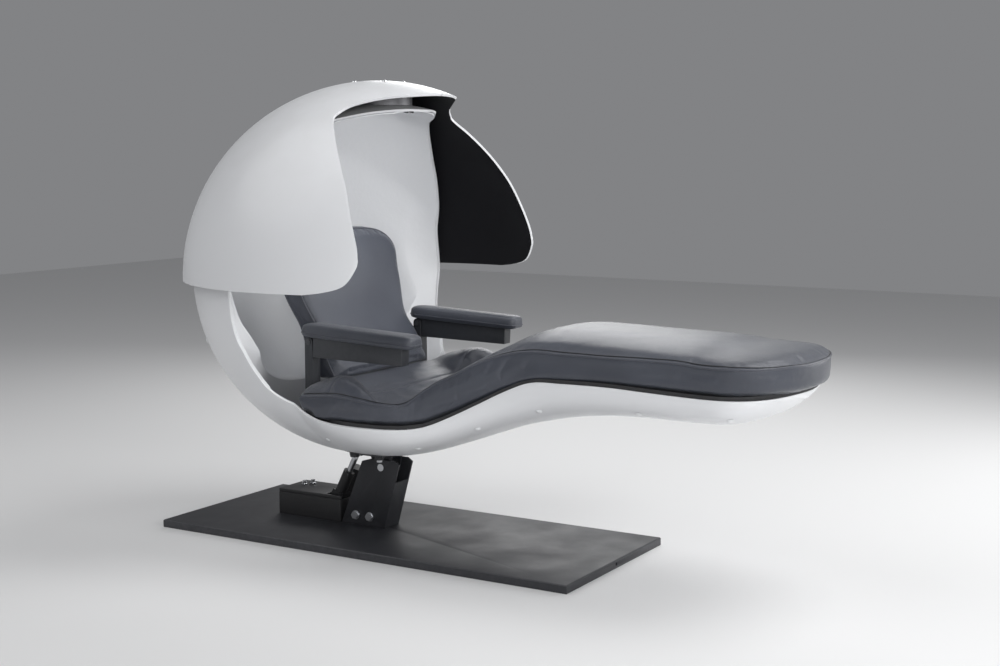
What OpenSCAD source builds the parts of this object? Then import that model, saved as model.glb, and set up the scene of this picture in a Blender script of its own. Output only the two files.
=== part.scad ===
// Nap pod: a reclining seat in a spherical shell with a turning privacy visor.
// The origin is the middle of the base plate's underside. +X points to the feet and +Z up.

/* [Sphere and visor] */
// Distance from the middle of the base plate back to the sphere's centre
centre_back = 92; // [40:1:130]
// Height of the bowl's underside above the floor
bowl_under_height = 272.5; // [257:0.5:311]
// Outer radius of the visor
visor_radius = 625; // [610:1:645]
// Thickness of the visor's wall
visor_wall = 8; // [5:0.5:12]
// Gap between the visor's inside and the shell's outside at the rim
visor_gap = 24; // [16:1:30]
// Angle in degrees by which the visor stands turned forward on its near side
visor_turn = 3; // [0:0.5:6]
// Radius of the circle of screws at the visor's pole
visor_screw_circle = 80; // [60:1:90]
// Diameter of the visor's screws
visor_screw_d = 8; // [5:0.5:10]

/* [Turntable] */
// Outer radius of the turntable rings
turntable_r = 105; // [98:1:120]
// Height of the running face below the visor's inside at the pole
turntable_drop = 26; // [22:0.5:30]
// Thickness of the slip washer
slip_washer_t = 2; // [1:0.5:4]
// Diameter of the visor's spindle
spindle_d = 24; // [16:1:30]

/* [Shell and liner] */
// Height of the bowl's centre above the sphere's centre
bowl_lift = 25; // [15:1:35]
// How much flatter the canopy is than the bowl at the top
canopy_drop = 64; // [58:1:70]
// Thickness of the shell's moulding
shell_wall = 7; // [5:0.5:10]
// Gap between shell and liner
liner_gap = 2.8; // [2.5:0.1:3.5]
// Thickness of the liner
liner_wall = 4; // [3:0.5:6]
// Height of the liner's raised panel above its rim at the bottom crease
liner_crease = 96; // [70:1:100]
// Diameter of the screw caps along the shell
cap_d = 20; // [14:1:24]
// Diameter of the canopy lamps
lamp_d = 18; // [12:1:22]

/* [Seat] */
// Distance from the sphere's centre forward to the cushion's foot end
seat_reach = 1486; // [1440:1:1530]
// Half the width of the leg rest
leg_half = 290; // [270:1:310]
// Half the width of the seat at its widest
seat_half = 458; // [445:1:470]
// Height of the leg rest's edge above the bowl's underside
leg_rise = 329.5; // [315:0.5:342]
// Thickness of the cushion's boxing on the leg rest
cushion_t = 80; // [70:1:95]
// Rise of the leg rest's crown above its seam at the knee
knee_crown = 38; // [28:1:42]
// Depth of the bucket below the flanks
bucket_depth = 50; // [35:1:56]
// Thickness of the board under the cushion
board_t = 10; // [6:1:14]
// How far the board stands back from the seat's edge
board_inset = 9; // [7:1:11]
// How far the board stands back from the seat's foot end
board_end_inset = 38; // [32:1:44]

/* [Backrest] */
// Gap between the backrest's narrowest part and an arm's post on each side
back_side_gap = 30; // [28:1:45]
// How much wider the backrest is at the shoulders than between the arms, on each side
shoulder_flare = 32; // [15:1:38]
// Height of the backrest from its lower end to its top
back_height = 452; // [435:1:470]
// Height of the backrest's lower end above the frame under the seat
back_low_rise = 106; // [102:1:112]
// Depth of the backrest cushion from front to back
back_t = 80; // [68:1:88]
// Rise of the backrest's crown
back_crown = 20; // [12:1:28]
// Thickness of the board behind the backrest
back_board_t = 12; // [9:1:15]

/* [Arms] */
// Distance of an arm's middle from the middle of the pod
arm_offset = 300; // [296:1:306]
// Width of the arm's beam and post
arm_w = 40; // [36:1:42]
// Depth of the post from front to back
post_depth = 30; // [26:1:32]
// Height of the arm's hinge above the frame under the seat
arm_rise = 227.7; // [215:0.1:240]
// Distance of the post's middle behind the base plate's middle
post_back = 141; // [136:1:146]
// Length of the beam from the hinge to its front end
beam_length = 347; // [320:1:370]
// Height of the beam at the hinge
beam_h = 62; // [52:1:68]
// Length of the arm pad
pad_length = 418; // [405:1:430]
// Width of the arm pad
pad_w = 82; // [76:1:84]
// Thickness of the arm pad
pad_t = 42; // [36:1:48]
// Slope of the arms down to the front
arm_slope = 2.4; // [1.5:0.1:3.5]
// Diameter of the arm's hinge pin
arm_pin_d = 12; // [8:1:14]

/* [Base plate and column] */
// Length of the base plate
plate_length = 1524; // [1450:2:1600]
// Width of the base plate
plate_width = 632; // [600:2:680]
// Thickness of the base plate
plate_t = 25; // [20:1:30]
// Bevel along the base plate's upper edges
plate_bevel = 3; // [1:0.5:5]
// Width of the column across the pod
column_w = 82; // [78:1:90]
// Wall of the column
column_wall = 6; // [5:0.5:7]
// Depth of the column at its foot, from front to back
column_foot_depth = 172; // [164:1:180]
// Depth of the column at its top, from front to back
column_top_depth = 146; // [130:1:148]
// Distance of the column's foot behind the middle of the plate
column_foot_back = 144; // [138:1:150]
// Diameter of the column's foot bolts
foot_bolt_d = 16; // [12:1:20]

/* [Tilt] */
// Distance of the tilt axle behind the middle of the plate
axle_back = 72; // [68:1:76]
// Height of the tilt axle
axle_height = 225; // [221:1:228]
// Diameter of the tilt axle
axle_d = 24; // [18:1:26]
// Thickness of the cradle's plates
cradle_t = 8; // [6:1:10]
// Diameter of the actuator's pins
actuator_pin_d = 12; // [10:1:14]
// Diameter of the actuator's tube
actuator_tube_d = 38; // [34:1:42]
// Diameter of the actuator's rod
rod_d = 20; // [16:1:22]
// Diameter of the actuator's motor
motor_d = 44; // [38:1:48]

/* [Control box] */
// Length of the control box
box_length = 256; // [236:1:280]
// Width of the control box
box_width = 150; // [120:1:170]
// Height of the control box with its lid
box_height = 86; // [70:1:95]
// Wall of the control box
box_wall = 3; // [2:0.5:5]

/* [Hidden] */

// Colours
white = "#e9eaec";
light_grey = "#c9ccd0";
leather_grey = "#4c5260";
frame_grey = "#3a3d42";
steel_grey = "#8d9196";
dark = "#1b1c1f";
bronze = "#b59a5a";

// Overrun of every cut past the face that it opens
overrun = 2;
// Clearance of parts that lie on each other without touching
seat_gap = 0.3;
// Clearance of parts that turn or slide against each other at their faces
side_gap = 0.6;
// Radial clearance of a shaft in its bore
running_gap = 0.06;
// Radial clearance of a screw in its hole
screw_gap = 0.5;

// Smoothness of round parts
round_fn = 64;
// Smoothness of the large spheres
sphere_fn = 480;
// Smoothness of small round parts
small_fn = 32;

// Shared functions

function clamp01(t) = min(1, max(0, t));
function smooth(t) = let (c = clamp01(t)) c * c * (3 - 2 * c);
function mix(a, b, t) = a + (b - a) * t;

// Smooth curve through a table of [key, value] pairs
function curve_at(x, table) =
  let (
    n = len(table),
    i = max([0, for (k = [0:n - 2]) if (x >= table[k][0]) k]),
    a = table[max(i - 1, 0)],
    b = table[i],
    c = table[i + 1],
    d = table[min(i + 2, n - 1)],
    h = c[0] - b[0],
    t = clamp01((x - b[0]) / h),
    slope_b = h * (c[1] - a[1]) / (c[0] - a[0]),
    slope_c = h * (d[1] - b[1]) / (d[0] - b[0])
  )
  b[1] * (1 + 2 * t) * pow(1 - t, 2) + slope_b * t * pow(1 - t, 2)
  + c[1] * t * t * (3 - 2 * t) - slope_c * t * t * (1 - t);

// Smooth path through a list of points
function path_through(points, steps) = [
  for (i = [0:len(points) - 2], j = [0:steps - 1])
    let (
      a = points[max(i - 1, 0)],
      b = points[i],
      c = points[i + 1],
      d = points[min(i + 2, len(points) - 1)],
      t = j / steps
    )
    (2 * b + (c - a) * t + (2 * a - 5 * b + 4 * c - d) * t * t
     + (3 * b - 3 * c + d - a) * t * t * t) / 2,
  points[len(points) - 1]
];

// Scale both coordinates of a table
function scaled(table, sx, sy) = [for (p = table) [p[0] * sx, p[1] * sy]];

function unit(v) = v / norm(v);

// Triangles of a grid of points with rows rows and columns columns
function grid_faces(rows, columns, start, flip) = [
  for (r = [0:rows - 2], c = [0:columns - 2])
    let (
      a = start + r * columns + c,
      b = a + 1,
      d = a + columns,
      e = d + 1
    )
    each flip ? [[a, b, e], [a, e, d]] : [[a, e, b], [a, d, e]]
];

// Triangles of a band between two equally long lists of indices
function band_faces(first, second, flip) = [
  for (i = [0:len(first) - 2])
    each flip
      ? [[first[i], first[i + 1], second[i + 1]], [first[i], second[i + 1], second[i]]]
      : [[first[i], second[i + 1], first[i + 1]], [first[i], second[i], second[i + 1]]]
];

// Triangles between an upper and a lower chain of indices
function zip_faces(a, b, flip, i = 0, j = 0) =
  let (
    last_a = i == len(a) - 1,
    last_b = j == len(b) - 1,
    step_a = last_b || (!last_a && (i + 1) / (len(a) - 1) <= (j + 1) / (len(b) - 1)),
    face = step_a ? [a[i], a[i + 1], b[j]] : [a[i], b[j + 1], b[j]]
  )
  last_a && last_b
    ? []
    : concat(
        [flip ? [face[0], face[2], face[1]] : face],
        step_a ? zip_faces(a, b, flip, i + 1, j) : zip_faces(a, b, flip, i, j + 1)
      );

// A body through closed loops of equally many points. Each loop starts with its upper points
module loft(loops, upper) {
  rows = len(loops);
  columns = len(loops[0]);
  last = (rows - 1) * columns;
  top = [for (c = [0:upper - 1]) c];
  under = [for (c = [columns - 1:-1:upper]) c];
  points = [for (loop = loops) each loop];
  sides = [
    for (r = [0:rows - 2], c = [0:columns - 1])
      let (
        a = r * columns + c,
        b = r * columns + (c + 1) % columns
      )
      each [[a, b, b + columns], [a, b + columns, a + columns]]
  ];
  caps = concat(
    zip_faces(top, under, true),
    zip_faces([for (c = top) last + c], [for (c = under) last + c], false)
  );
  polyhedron(points = points, faces = concat(sides, caps));
}

// A thick sheet between an outer and an inner grid of points.
// With a closed front, the first row of each grid is closed by a flat face of its own.
module thick_sheet(outer, inner, closed_front) {
  rows = len(outer);
  columns = len(outer[0]);
  count = rows * columns;
  points = concat([for (row = outer) each row], [for (row = inner) each row]);
  left = [for (r = [0:rows - 1]) r * columns];
  right = [for (r = [0:rows - 1]) r * columns + columns - 1];
  front = [for (c = [0:columns - 1]) c];
  back = [for (c = [0:columns - 1]) (rows - 1) * columns + c];
  shift = [for (r = [0:rows - 1]) count];
  row_shift = [for (c = [0:columns - 1]) count];
  front_faces = closed_front
    ? concat(
        [for (c = [1:columns - 2]) [0, c + 1, c]],
        [for (c = [1:columns - 2]) [count, count + c, count + c + 1]],
        [[0, count + columns - 1, columns - 1], [0, count, count + columns - 1]]
      )
    : band_faces(front, front + row_shift, false);
  polyhedron(
    points = points,
    faces = concat(
      grid_faces(rows, columns, 0, true),
      grid_faces(rows, columns, count, false),
      band_faces(left, left + shift, true),
      band_faces(right, right + shift, false),
      front_faces,
      band_faces(back, back + row_shift, true)
    )
  );
}

// Radius of the shell at the visor's rim, and of its bowl
visor_inner = visor_radius - visor_wall;
shell_equator = visor_inner - visor_gap;
bowl_radius = norm([shell_equator, bowl_lift]);

// The sphere's centre, where the visor's lower rim lies
centre_height = bowl_under_height + bowl_radius - bowl_lift;
centre = [-centre_back, 0, centre_height];

module at_centre() {
  translate(centre) children();
}

// Bowl and canopy

// Distance of the shell's outside from the centre, where up is the cosine from the vertical
function shell_reach(up) =
  bowl_lift * up + sqrt(pow(bowl_radius, 2) - pow(bowl_lift, 2) * (1 - up * up))
  - (up > 0 ? canopy_drop * up * up : 0);

// Direction for a turn from straight down towards the back, and a side angle
function bowl_direction(turn, side) = [-cos(side) * sin(turn), sin(side), -cos(side) * cos(turn)];

// Half-width of the bowl in degrees, for each turn from straight down
bowl_side_angles = [
  [0, 52.9], [6, 54.6], [14, 57.6], [20, 61.4], [32, 66.8], [43, 69.5], [55, 72.4], [72, 75],
  [90, 75.8], [110, 74.6], [130, 71.2], [148, 66.2], [160, 58.2], [169, 47], [177, 35],
  [182, 28], [187, 23.4], [191, 18], [194, 13], [198, 2]
];
function bowl_side(turn) = curve_at(turn, bowl_side_angles);
// Turns of the bowl's rows of points: even ones, then closer ones at the canopy's lip
bowl_steps = 34;
even_end_turn = 187;
bowl_turns = concat(
  [for (i = [0:bowl_steps]) even_end_turn * i / bowl_steps],
  [190, 192.5, 194.5, 196.5, 198]
);

function bowl_point(turn, side, depth) =
  let (d = bowl_direction(turn, side)) (shell_reach(d[2]) - depth) * d;

// Trough

seat_side = bowl_side(0);
keel_depth = -bowl_point(0, 0, 0)[2];
bowl_rim_drop = -bowl_point(0, seat_side, 0)[2];
bowl_rim_half = bowl_point(0, seat_side, 0)[1];
shell_end_inset = 46;
shell_reach_x = seat_reach - shell_end_inset;
shell_side_inset = 6;
waist = 80;
// Slopes of the shell's rim and width where the bowl runs into the trough
waist_rim_slope = 0.3;
waist_width_slope = 0.16;
shoulder_share = 0.08;
shoulder_width_share = 0.97;

// Height of the shell's rim above the bowl's underside: distances are shares of the seat's
// reach, heights are shares of the leg rest's rise
rim_shares = [
  [0.022, 0.6], [0.05, 0.545], [0.068, 0.525], [0.1, 0.507], [0.16, 0.495], [0.229, 0.494],
  [0.269, 0.522], [0.312, 0.604], [0.367, 0.731], [0.431, 0.88], [0.483, 0.968], [0.548, 0.98],
  [0.643, 0.983], [0.735, 0.968],
  [0.824, 0.956], [0.91, 0.956], [1, 0.967]
];
// Share of the leg rest's rise under which the rim never dips
rim_low_share = 0.492;
// Height of the shell's keel above the bowl's underside
keel_shares = [
  [0.06, 0.025], [0.125, 0.068], [0.19, 0.137], [0.26, 0.242], [0.33, 0.358], [0.4, 0.467],
  [0.47, 0.547], [0.535, 0.608], [0.62, 0.655], [0.7, 0.67], [0.79, 0.67], [0.87, 0.69],
  [0.92, 0.758], [0.95, 0.84], [0.97, 0.905], [1, 0.935]
];
function above_keel(shares) = [for (p = shares) [p[0] * seat_reach, p[1] * leg_rise - keel_depth]];
rim_table = concat(
  [[-waist, -bowl_rim_drop + waist * waist_rim_slope], [0, -bowl_rim_drop]],
  above_keel(rim_shares)
);
keel_table = concat(
  [[-waist, bowl_point(asin(waist / keel_depth), 0, 0)[2]], [0, -keel_depth]],
  above_keel(keel_shares)
);
// Half-width of the shell: at the start it is the bowl's, then that of seat and leg rest
width_shares = [
  [0.14, 0.9], [0.2, 0.75], [0.26, 0.5], [0.33, 0.26], [0.4, 0.1], [0.47, 0.03], [0.55, 0], [1, 0]
];

// Half-width of the seat at a distance in front of the centre, before its foot end rounds off
width_table = concat(
  [
    [-waist, bowl_rim_half + waist * waist_width_slope],
    [0, bowl_rim_half],
    [seat_reach * shoulder_share, mix(leg_half, seat_half, shoulder_width_share)]
  ],
  [for (p = width_shares) [p[0] * seat_reach, mix(leg_half, seat_half, p[1])]]
);
foot_round_share = 0.13;
foot_exponent = 2.1;
shell_foot_exponent = 2.6;
function foot_factor(x, reach, exponent) =
  let (
    start = reach - foot_round_share * seat_reach,
    t = clamp01((x - start) / (reach - start))
  )
  pow(max(1 - pow(t, exponent), 0), 1 / exponent);

function rim_height(x) = curve_at(x, rim_table);
function keel_height(x) = curve_at(x, keel_table);
function seat_width(x, reach, exponent = foot_exponent) =
  curve_at(x, width_table) * foot_factor(x, reach, exponent);

// Trough section: from the bowl's round section at the waist to a squarer one, and a keeled one
// at the foot end
trough_exponent = 2.9;
bow_exponent = 1.35;
bow_share = 0.11;
trough_blend_share = 0.3;
function section_exponent(x) =
  mix(trough_exponent, bow_exponent, smooth((x - shell_reach_x) / (bow_share * seat_reach) + 1));
function trough_point(x, s, inward, reach) =
  let (
    w = smooth(x / (trough_blend_share * seat_reach)),
    outer_half = seat_width(x, reach, shell_foot_exponent) - w * shell_side_inset,
    half = outer_half - inward * mix(sin(seat_side), 1, w),
    exponent = section_exponent(x),
    rim = rim_height(x) + inward * mix(cos(seat_side), 0, w),
    keel = min(keel_height(x) + inward, rim - inward),
    a = abs(s),
    round_y = sin(a * seat_side) / sin(seat_side),
    round_z = (1 - cos(a * seat_side)) / (1 - cos(seat_side)),
    square_y = pow(sin(a * 90), 2 / exponent),
    square_z = 1 - pow(cos(a * 90), 2 / exponent),
    y = half * mix(round_y, square_y, w),
    z = mix(keel, rim, mix(round_z, square_z, w))
  )
  [x, s < 0 ? -y : y, z];

// Stations of the shell: along the trough from the foot back to the centre, then round the bowl
trough_steps = 22;
foot_steps = 6;
half_columns = 11;
side_shares = [for (i = [-half_columns:half_columns]) i / half_columns];
foot_start = shell_reach_x - foot_round_share * seat_reach;
foot_angle_end = 86;
trough_stations = concat(
  [for (i = [foot_steps:-1:1]) mix(foot_start, shell_reach_x, sin(foot_angle_end * i / foot_steps))],
  [for (i = [trough_steps:-1:1]) foot_start * i / trough_steps]
);

function trough_row(x, inward) =
  let (
    pull = inward * clamp01((x - foot_start) / (shell_reach_x - foot_start)),
    reach = shell_reach_x - inward
  )
  [for (s = side_shares) trough_point(x - pull, s, inward, reach)];
function bowl_row(turn, inward) =
  [for (s = side_shares) bowl_point(turn, s * bowl_side(turn), inward)];
function shell_rows(inward) = concat(
  [for (x = trough_stations) trough_row(x, inward)],
  [for (turn = bowl_turns) bowl_row(turn, inward)]
);

module shell_solid() {
  thick_sheet(shell_rows(0), shell_rows(shell_wall), true);
}

// Points of the screw caps on the shell: distance share along the trough and side share
trough_cap_shares = [
  [0.035, 0.72], [0.24, 0.6], [0.36, 0.62], [0.49, 0.64], [0.7, 0.62], [0.88, 0.6]
];
// Turn and side share of the cap on the bowl
bowl_cap = [65, 0.52];
// Steps along and across the trough over which its normals are taken
normal_step = 10;
normal_share = 0.02;
function trough_face(x, s) = trough_point(x, s, 0, shell_reach_x);
function trough_normal(x, s) =
  let (
    along = trough_face(x + normal_step, s) - trough_face(x - normal_step, s),
    across = trough_face(x, s + normal_share) - trough_face(x, s - normal_share)
  )
  -unit(cross(along, across));
cap_places = concat(
  [
    for (p = trough_cap_shares, side = [-1, 1])
      let (x = p[0] * seat_reach)
      [trough_face(x, p[1] * side), trough_normal(x, p[1] * side)]
  ],
  [
    for (side = [-1, 1])
      let (angle = bowl_side(bowl_cap[0]) * bowl_cap[1] * side)
      [bowl_point(bowl_cap[0], angle, 0), bowl_direction(bowl_cap[0], angle)]
  ]
);
cap_height = 4;
cap_shank_d = 6;
cap_hole_length = 3 * shell_wall;
// Lift of the caps clear of the shell's curve
cap_lift = 1;

// Turn the Z axis onto a direction
module aim(direction) {
  rotate([0, acos(direction[2] / norm(direction)), atan2(direction[1], direction[0])]) children();
}

// Turntable on the canopy

canopy_top = shell_reach(1);
canopy_seat_radius = shell_reach(cos(asin(turntable_r / canopy_top))) + seat_gap;
running_face = visor_inner - turntable_drop;
turntable_screw_d = 6;
turntable_screw_circle = 60;
spindle_head_d = 44;
spindle_head_t = 5;

// Places of four screws around the pole
module around_pole(circle, first) {
  for (i = [0:3]) {
    rotate([0, 0, first + 90 * i]) translate([circle, 0, 0]) children();
  }
}

// Base

plate_top = plate_t;
plate_socket_d = 11;
plate_socket_depth = 40;
bracket_t = 8;
bracket_flange_t = 12;
bracket_h = 44;
bracket_length = 100;
bracket_screw_d = 12;
bracket_screw_head_d = 22;
bracket_screw_head_t = 8;
bracket_screw_spacing = 60;
foot_bolt_height = 32;
foot_bolt_spacing = 56;
bolt_head_t = 9;
bolt_head_ratio = 1.6;
bolt_washer_t = 2;
cheek_inner = column_w / 2 - column_wall;
axle = [-axle_back, 0, axle_height];
fit_gap = 0.05;

// Outline of the column's cheeks in side view, with its top corners drawn in below the cradle
column_ear = 27;
ear_back_share = 0.45;
ear_front_share = 0.75;
ear_drop_share = 0.55;
column_shoulder = axle_height + column_ear * ear_drop_share;
column_rear_top = -axle_back - column_top_depth / 2;
column_front_top = -axle_back + column_top_depth / 2;
column_rear_foot = -column_foot_back - column_foot_depth / 2;
column_front_foot = -column_foot_back + column_foot_depth / 2;
column_outline = [
  [column_rear_foot, plate_top],
  [column_front_foot, plate_top],
  [column_front_top, column_shoulder],
  [-axle_back + column_top_depth / 2 * ear_front_share, axle_height + column_ear],
  [-axle_back - column_top_depth / 2 * ear_back_share, axle_height + column_ear],
  [column_rear_top, column_shoulder]
];
web_top_share = 0.72;
function column_share(z) = (z - plate_top) / (column_shoulder - plate_top);
function column_rear_x(z) = mix(column_rear_foot, column_rear_top, column_share(z));
function column_front_x(z) = mix(column_front_foot, column_front_top, column_share(z));
web_top = mix(plate_top, column_shoulder, web_top_share);

// Cradle and actuator

cradle_front = 40;
cradle_rear = 160;
cradle_half = 84;
cradle_skin_gap = 0.9;
bush_wall = 3;
bush_flange_t = 1.5;
bush_flange = 4;
lug_outer = cheek_inner - bush_flange_t - side_gap;
lug_inner = lug_outer - cradle_t;
collar_w = 8;
collar_wall = 8;
lug_radius = 30;
lug_spread = 52;
rear_lug_outer = 24;
rear_lug_inner = rear_lug_outer - cradle_t;
// The actuator's pins, measured from the tilt axle
upper_pin_back = 120;
upper_pin_rise = 31;
lower_pin_back = 213;
lower_pin_height = 47;
upper_pin = axle + [-upper_pin_back, 0, upper_pin_rise];
lower_pin = [-axle_back - lower_pin_back, 0, plate_top + lower_pin_height];
pin_lug_radius = 15;
lug_foot_half = 22.5;
pin_head_t = 3;
pin_head_ratio = 1.5;
actuator_line = upper_pin - lower_pin;
actuator_length = norm(actuator_line);
actuator_lean = atan2(actuator_line[0], actuator_line[2]);
rod_clearance = 1.4;
rod_eye_r = 13.5;
tube_top_share = 0.64;
tube_top = actuator_length * tube_top_share;
rod_low_share = 0.49;
tube_bore_low_share = 0.28;
gearbox_from = 16;
gearbox_to = 54;
gearbox_depth = 40;
motor_side = 43;
motor_length = 84;
eye_w = 16;
cradle_bolt_d = 12;
cradle_bolt_head_t = 8;
cradle_bolt_x = [-86, 12];
cradle_bolt_y = 62;
cradle_boss_r = 15;
cradle_boss_drop = 14;

// Frame inside the shell

rail_w = 30;
rail_h = 36;
rail_front_share = 0.25;
rail_top = bowl_under_height + rim_low_share * leg_rise - seat_gap;
rail_bottom = rail_top - rail_h;
frame_foot_r = 20;
bolt_in_rail_share = 0.6;
facet_gap = 2;

// Cushion

// Rise of the seam over the cushion's underside, as shares of the boxing's thickness
rise_shares = [
  [-0.05, 0.93], [0.04, 0.93], [0.108, 0.96], [0.199, 0.8], [0.235, 0.76], [0.247, 0.9],
  [0.262, 1.16], [0.288, 1.39], [0.315, 1.44], [0.371, 1.5], [0.429, 1.31], [0.48, 1.09],
  [0.548, 1.01], [0.643, 0.975], [0.735, 1.05], [0.793, 1.07], [0.852, 1.01], [1, 1]
];
rise_table = scaled(rise_shares, seat_reach, cushion_t);
// Drop of the bucket's middle under the seam, as shares of its depth
bucket_shares = [
  [-0.05, -0.2], [0, -0.17], [0.03, 0.02], [0.07, 0.42], [0.11, 0.8], [0.15, 0.92], [0.18, 0.72],
  [0.21, 0.45], [0.24, 0.25], [0.262, 0.2], [0.329, 0.2], [0.396, 0.08], [0.44, 0], [1, 0]
];
// Rise of the leg rest's middle over the seam, as shares of its crown
crown_shares = [
  [0.24, 0], [0.33, 0.05], [0.38, 0.3], [0.43, 0.78], [0.463, 0.92], [0.53, 1.02],
  [0.585, 1.02], [0.66, 0.95], [0.73, 0.85], [0.8, 0.78], [0.875, 0.72], [0.93, 0.65],
  [0.97, 0.47], [1, 0.12]
];
bucket_table = scaled(bucket_shares, seat_reach, bucket_depth);
crown_table = scaled(crown_shares, seat_reach, knee_crown);
// Where the flanks start and reach their full height, as shares of the half-width
flank_inner_share = 0.5;
flank_outer_share = 0.66;
flank_shift_share = 0.34;
flank_from_share = 0.04;
flank_to_share = 0.17;
under_level_share = 0.1;
cushion_rear = -26;
rear_skew = 37;
skew_length = 185;
draw_in = 5;
seam_round = 9;
crown_power = 2.4;
cushion_overhang = 4;
inner_slope_share = 1.1;
inner_wall_share = 2.4;
// Clearance of the board over the shell's rim
board_gap = 0.8;
least_rise_share = 1.5;

// Rise of the rim's inner edge over its outer one
function rim_lip(x) = shell_wall * mix(cos(seat_side), 0, smooth(x / (trough_blend_share * seat_reach)));

// Underside of the board and of the cushion
function board_under(x) =
  let (level = max(x, under_level_share * seat_reach)) rim_height(level) + rim_lip(level) + board_gap;
function cushion_low(x) = board_under(x) + board_t + seat_gap;
// How far the shell's raised rim keeps a point at the height z in, from lead above the rim down
function rim_keep(x, z, lead) =
  let (drop = max(0, rim_height(x) + lead - z))
  inner_slope_share * drop + inner_wall_share * shell_wall * clamp01(drop / max(lead, shell_wall));
function skew_at(x) = rear_skew * (1 - smooth((x - cushion_rear) / skew_length));

function cushion_top(x, u) =
  let (
    shift = flank_shift_share * smooth((x / seat_reach - flank_from_share) / flank_to_share),
    flank = smooth((u - flank_inner_share - shift) / (flank_outer_share - flank_inner_share))
  )
  -curve_at(x, bucket_table) * (1 - flank) + curve_at(x, crown_table) * (1 - pow(u, crown_power));

top_shares = [
  -1, -0.97, -0.9, -0.82, -0.73, -0.62, -0.45, -0.2, 0.2, 0.45, 0.62, 0.73, 0.82, 0.9, 0.97, 1
];
under_shares = [0.95, 0.8, 0.65, 0.3, -0.3, -0.65, -0.8, -0.95];
boxing_mid_share = 0.5;

// Closed section of the cushion at a distance in front of the centre
function cushion_loop(x, shrink) =
  let (
    skew = skew_at(x),
    half = max(seat_width(x, seat_reach) + cushion_overhang - shrink, 2 * draw_in),
    low = cushion_low(x) + shrink / 2,
    seam = max(cushion_low(x) + curve_at(x, rise_table) - shrink, low + seam_round * least_rise_share),
    middle = mix(seam - seam_round, low + seam_round, boxing_mid_share),
    edge = half - rim_keep(x + skew, low, seam_round),
    side_mid = half - draw_in - rim_keep(x + skew, middle, seam_round),
    side_low = half - draw_in / 2 - rim_keep(x + skew, low + seam_round, seam_round)
  )
  concat(
    [
      for (s = top_shares)
        let (u = abs(s))
        [x + skew * u * u, s * half, seam + (u < 1 ? cushion_top(x, u) : -seam_round)]
    ],
    [[x + skew, side_mid, middle]],
    [[x + skew, side_low, low + seam_round]],
    [for (s = under_shares) [x + skew * s * s, s * (edge - seam_round), low]],
    [[x + skew, -side_low, low + seam_round]],
    [[x + skew, -side_mid, middle]]
  );

foot_stations = 7;
cushion_foot_start = seat_reach * (1 - foot_round_share);
cushion_edge = 14;
cushion_edge_share = 0.3;
cushion_edge_power = 4;
least_station_gap = 10;
last_seat_station = cushion_foot_start - least_station_gap;
seat_stations = [
  for (i = [len(trough_stations) - 1:-1:0])
    if (trough_stations[i] < last_seat_station) trough_stations[i]
];
foot_end_angle = 84;
cushion_stations = concat(
  [
    [cushion_rear, cushion_edge],
    [cushion_rear + cushion_edge * cushion_edge_share, cushion_edge * cushion_edge_share],
    [cushion_rear + cushion_edge, 0], [0, 0]
  ],
  [for (x = seat_stations) [x, 0]],
  [
    for (i = [0:foot_stations])
      [
        mix(cushion_foot_start, seat_reach, sin(foot_end_angle * i / foot_stations)),
        cushion_edge * pow(i / foot_stations, cushion_edge_power)
      ]
  ]
);

// Closed section of the board
function board_loop(x) =
  let (
    skew = skew_at(x),
    low = board_under(x),
    half = seat_width(x, board_reach) - board_inset - rim_keep(x + skew, low, rim_lip(x))
  )
  concat(
    [for (s = [-1, -0.5, 0.5, 1]) [x + skew * s * s, s * half, low + board_t]],
    [for (s = [1, 0.5, -0.5, -1]) [x + skew * s * s, s * half, low]]
  );
board_reach = seat_reach - board_end_inset;
board_stations = concat(
  [cushion_rear + board_inset, 0],
  seat_stations,
  [
    for (i = [0:foot_stations])
      mix(cushion_foot_start, board_reach, sin(foot_end_angle * i / foot_stations))
  ]
);

// Backrest

back_bottom = keel_depth - rim_low_share * leg_rise - back_low_rise;
back_top = back_height - back_bottom;
back_half = arm_offset - arm_w / 2 - back_side_gap;
shoulder_half = back_half + shoulder_flare;

// Front face of the backrest: how far it lies behind the centre at heights over its lower end
back_lean_shares = [
  [0, -0.032], [0.184, 0.0617], [0.369, 0.163], [0.515, 0.2215], [0.664, 0.2595], [0.834, 0.29], [1, 0.329]
];
back_lean_table = scaled(back_lean_shares, back_height, back_height);
function back_front(z) = -curve_at(z + back_bottom, back_lean_table);
// Heights over the lower end at which the backrest widens, and by what share of the flare
back_flare_shares = [
  [0, 0.45], [0.12, 0.5], [0.22, 0.42], [0.3, 0.12], [0.3535, 0], [0.54, 0.82], [0.664, 1], [1, 1]
];
back_flare_table = scaled(back_flare_shares, back_height, shoulder_flare);
shoulder_round = 100;
shoulder_exponent = 2.3;
// Width of the backrest's top edge between its rounded shoulders, as a share of its width
top_edge_share = 0.36;
function back_width(z) =
  let (
    t = clamp01((z - back_top + shoulder_round) / shoulder_round),
    round_share = pow(max(1 - pow(t, shoulder_exponent), 0), 1 / shoulder_exponent)
  )
  (back_half + curve_at(z + back_bottom, back_flare_table)) * mix(top_edge_share, 1, round_share);
back_front_shares = [-1, -0.9, -0.7, -0.4, 0, 0.4, 0.7, 0.9, 1];
back_rear_shares = [0.92, 0.4, -0.4, -0.92];
back_edge = 16;
back_edge_power = 5;
back_mid_share = 0.5;

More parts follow.
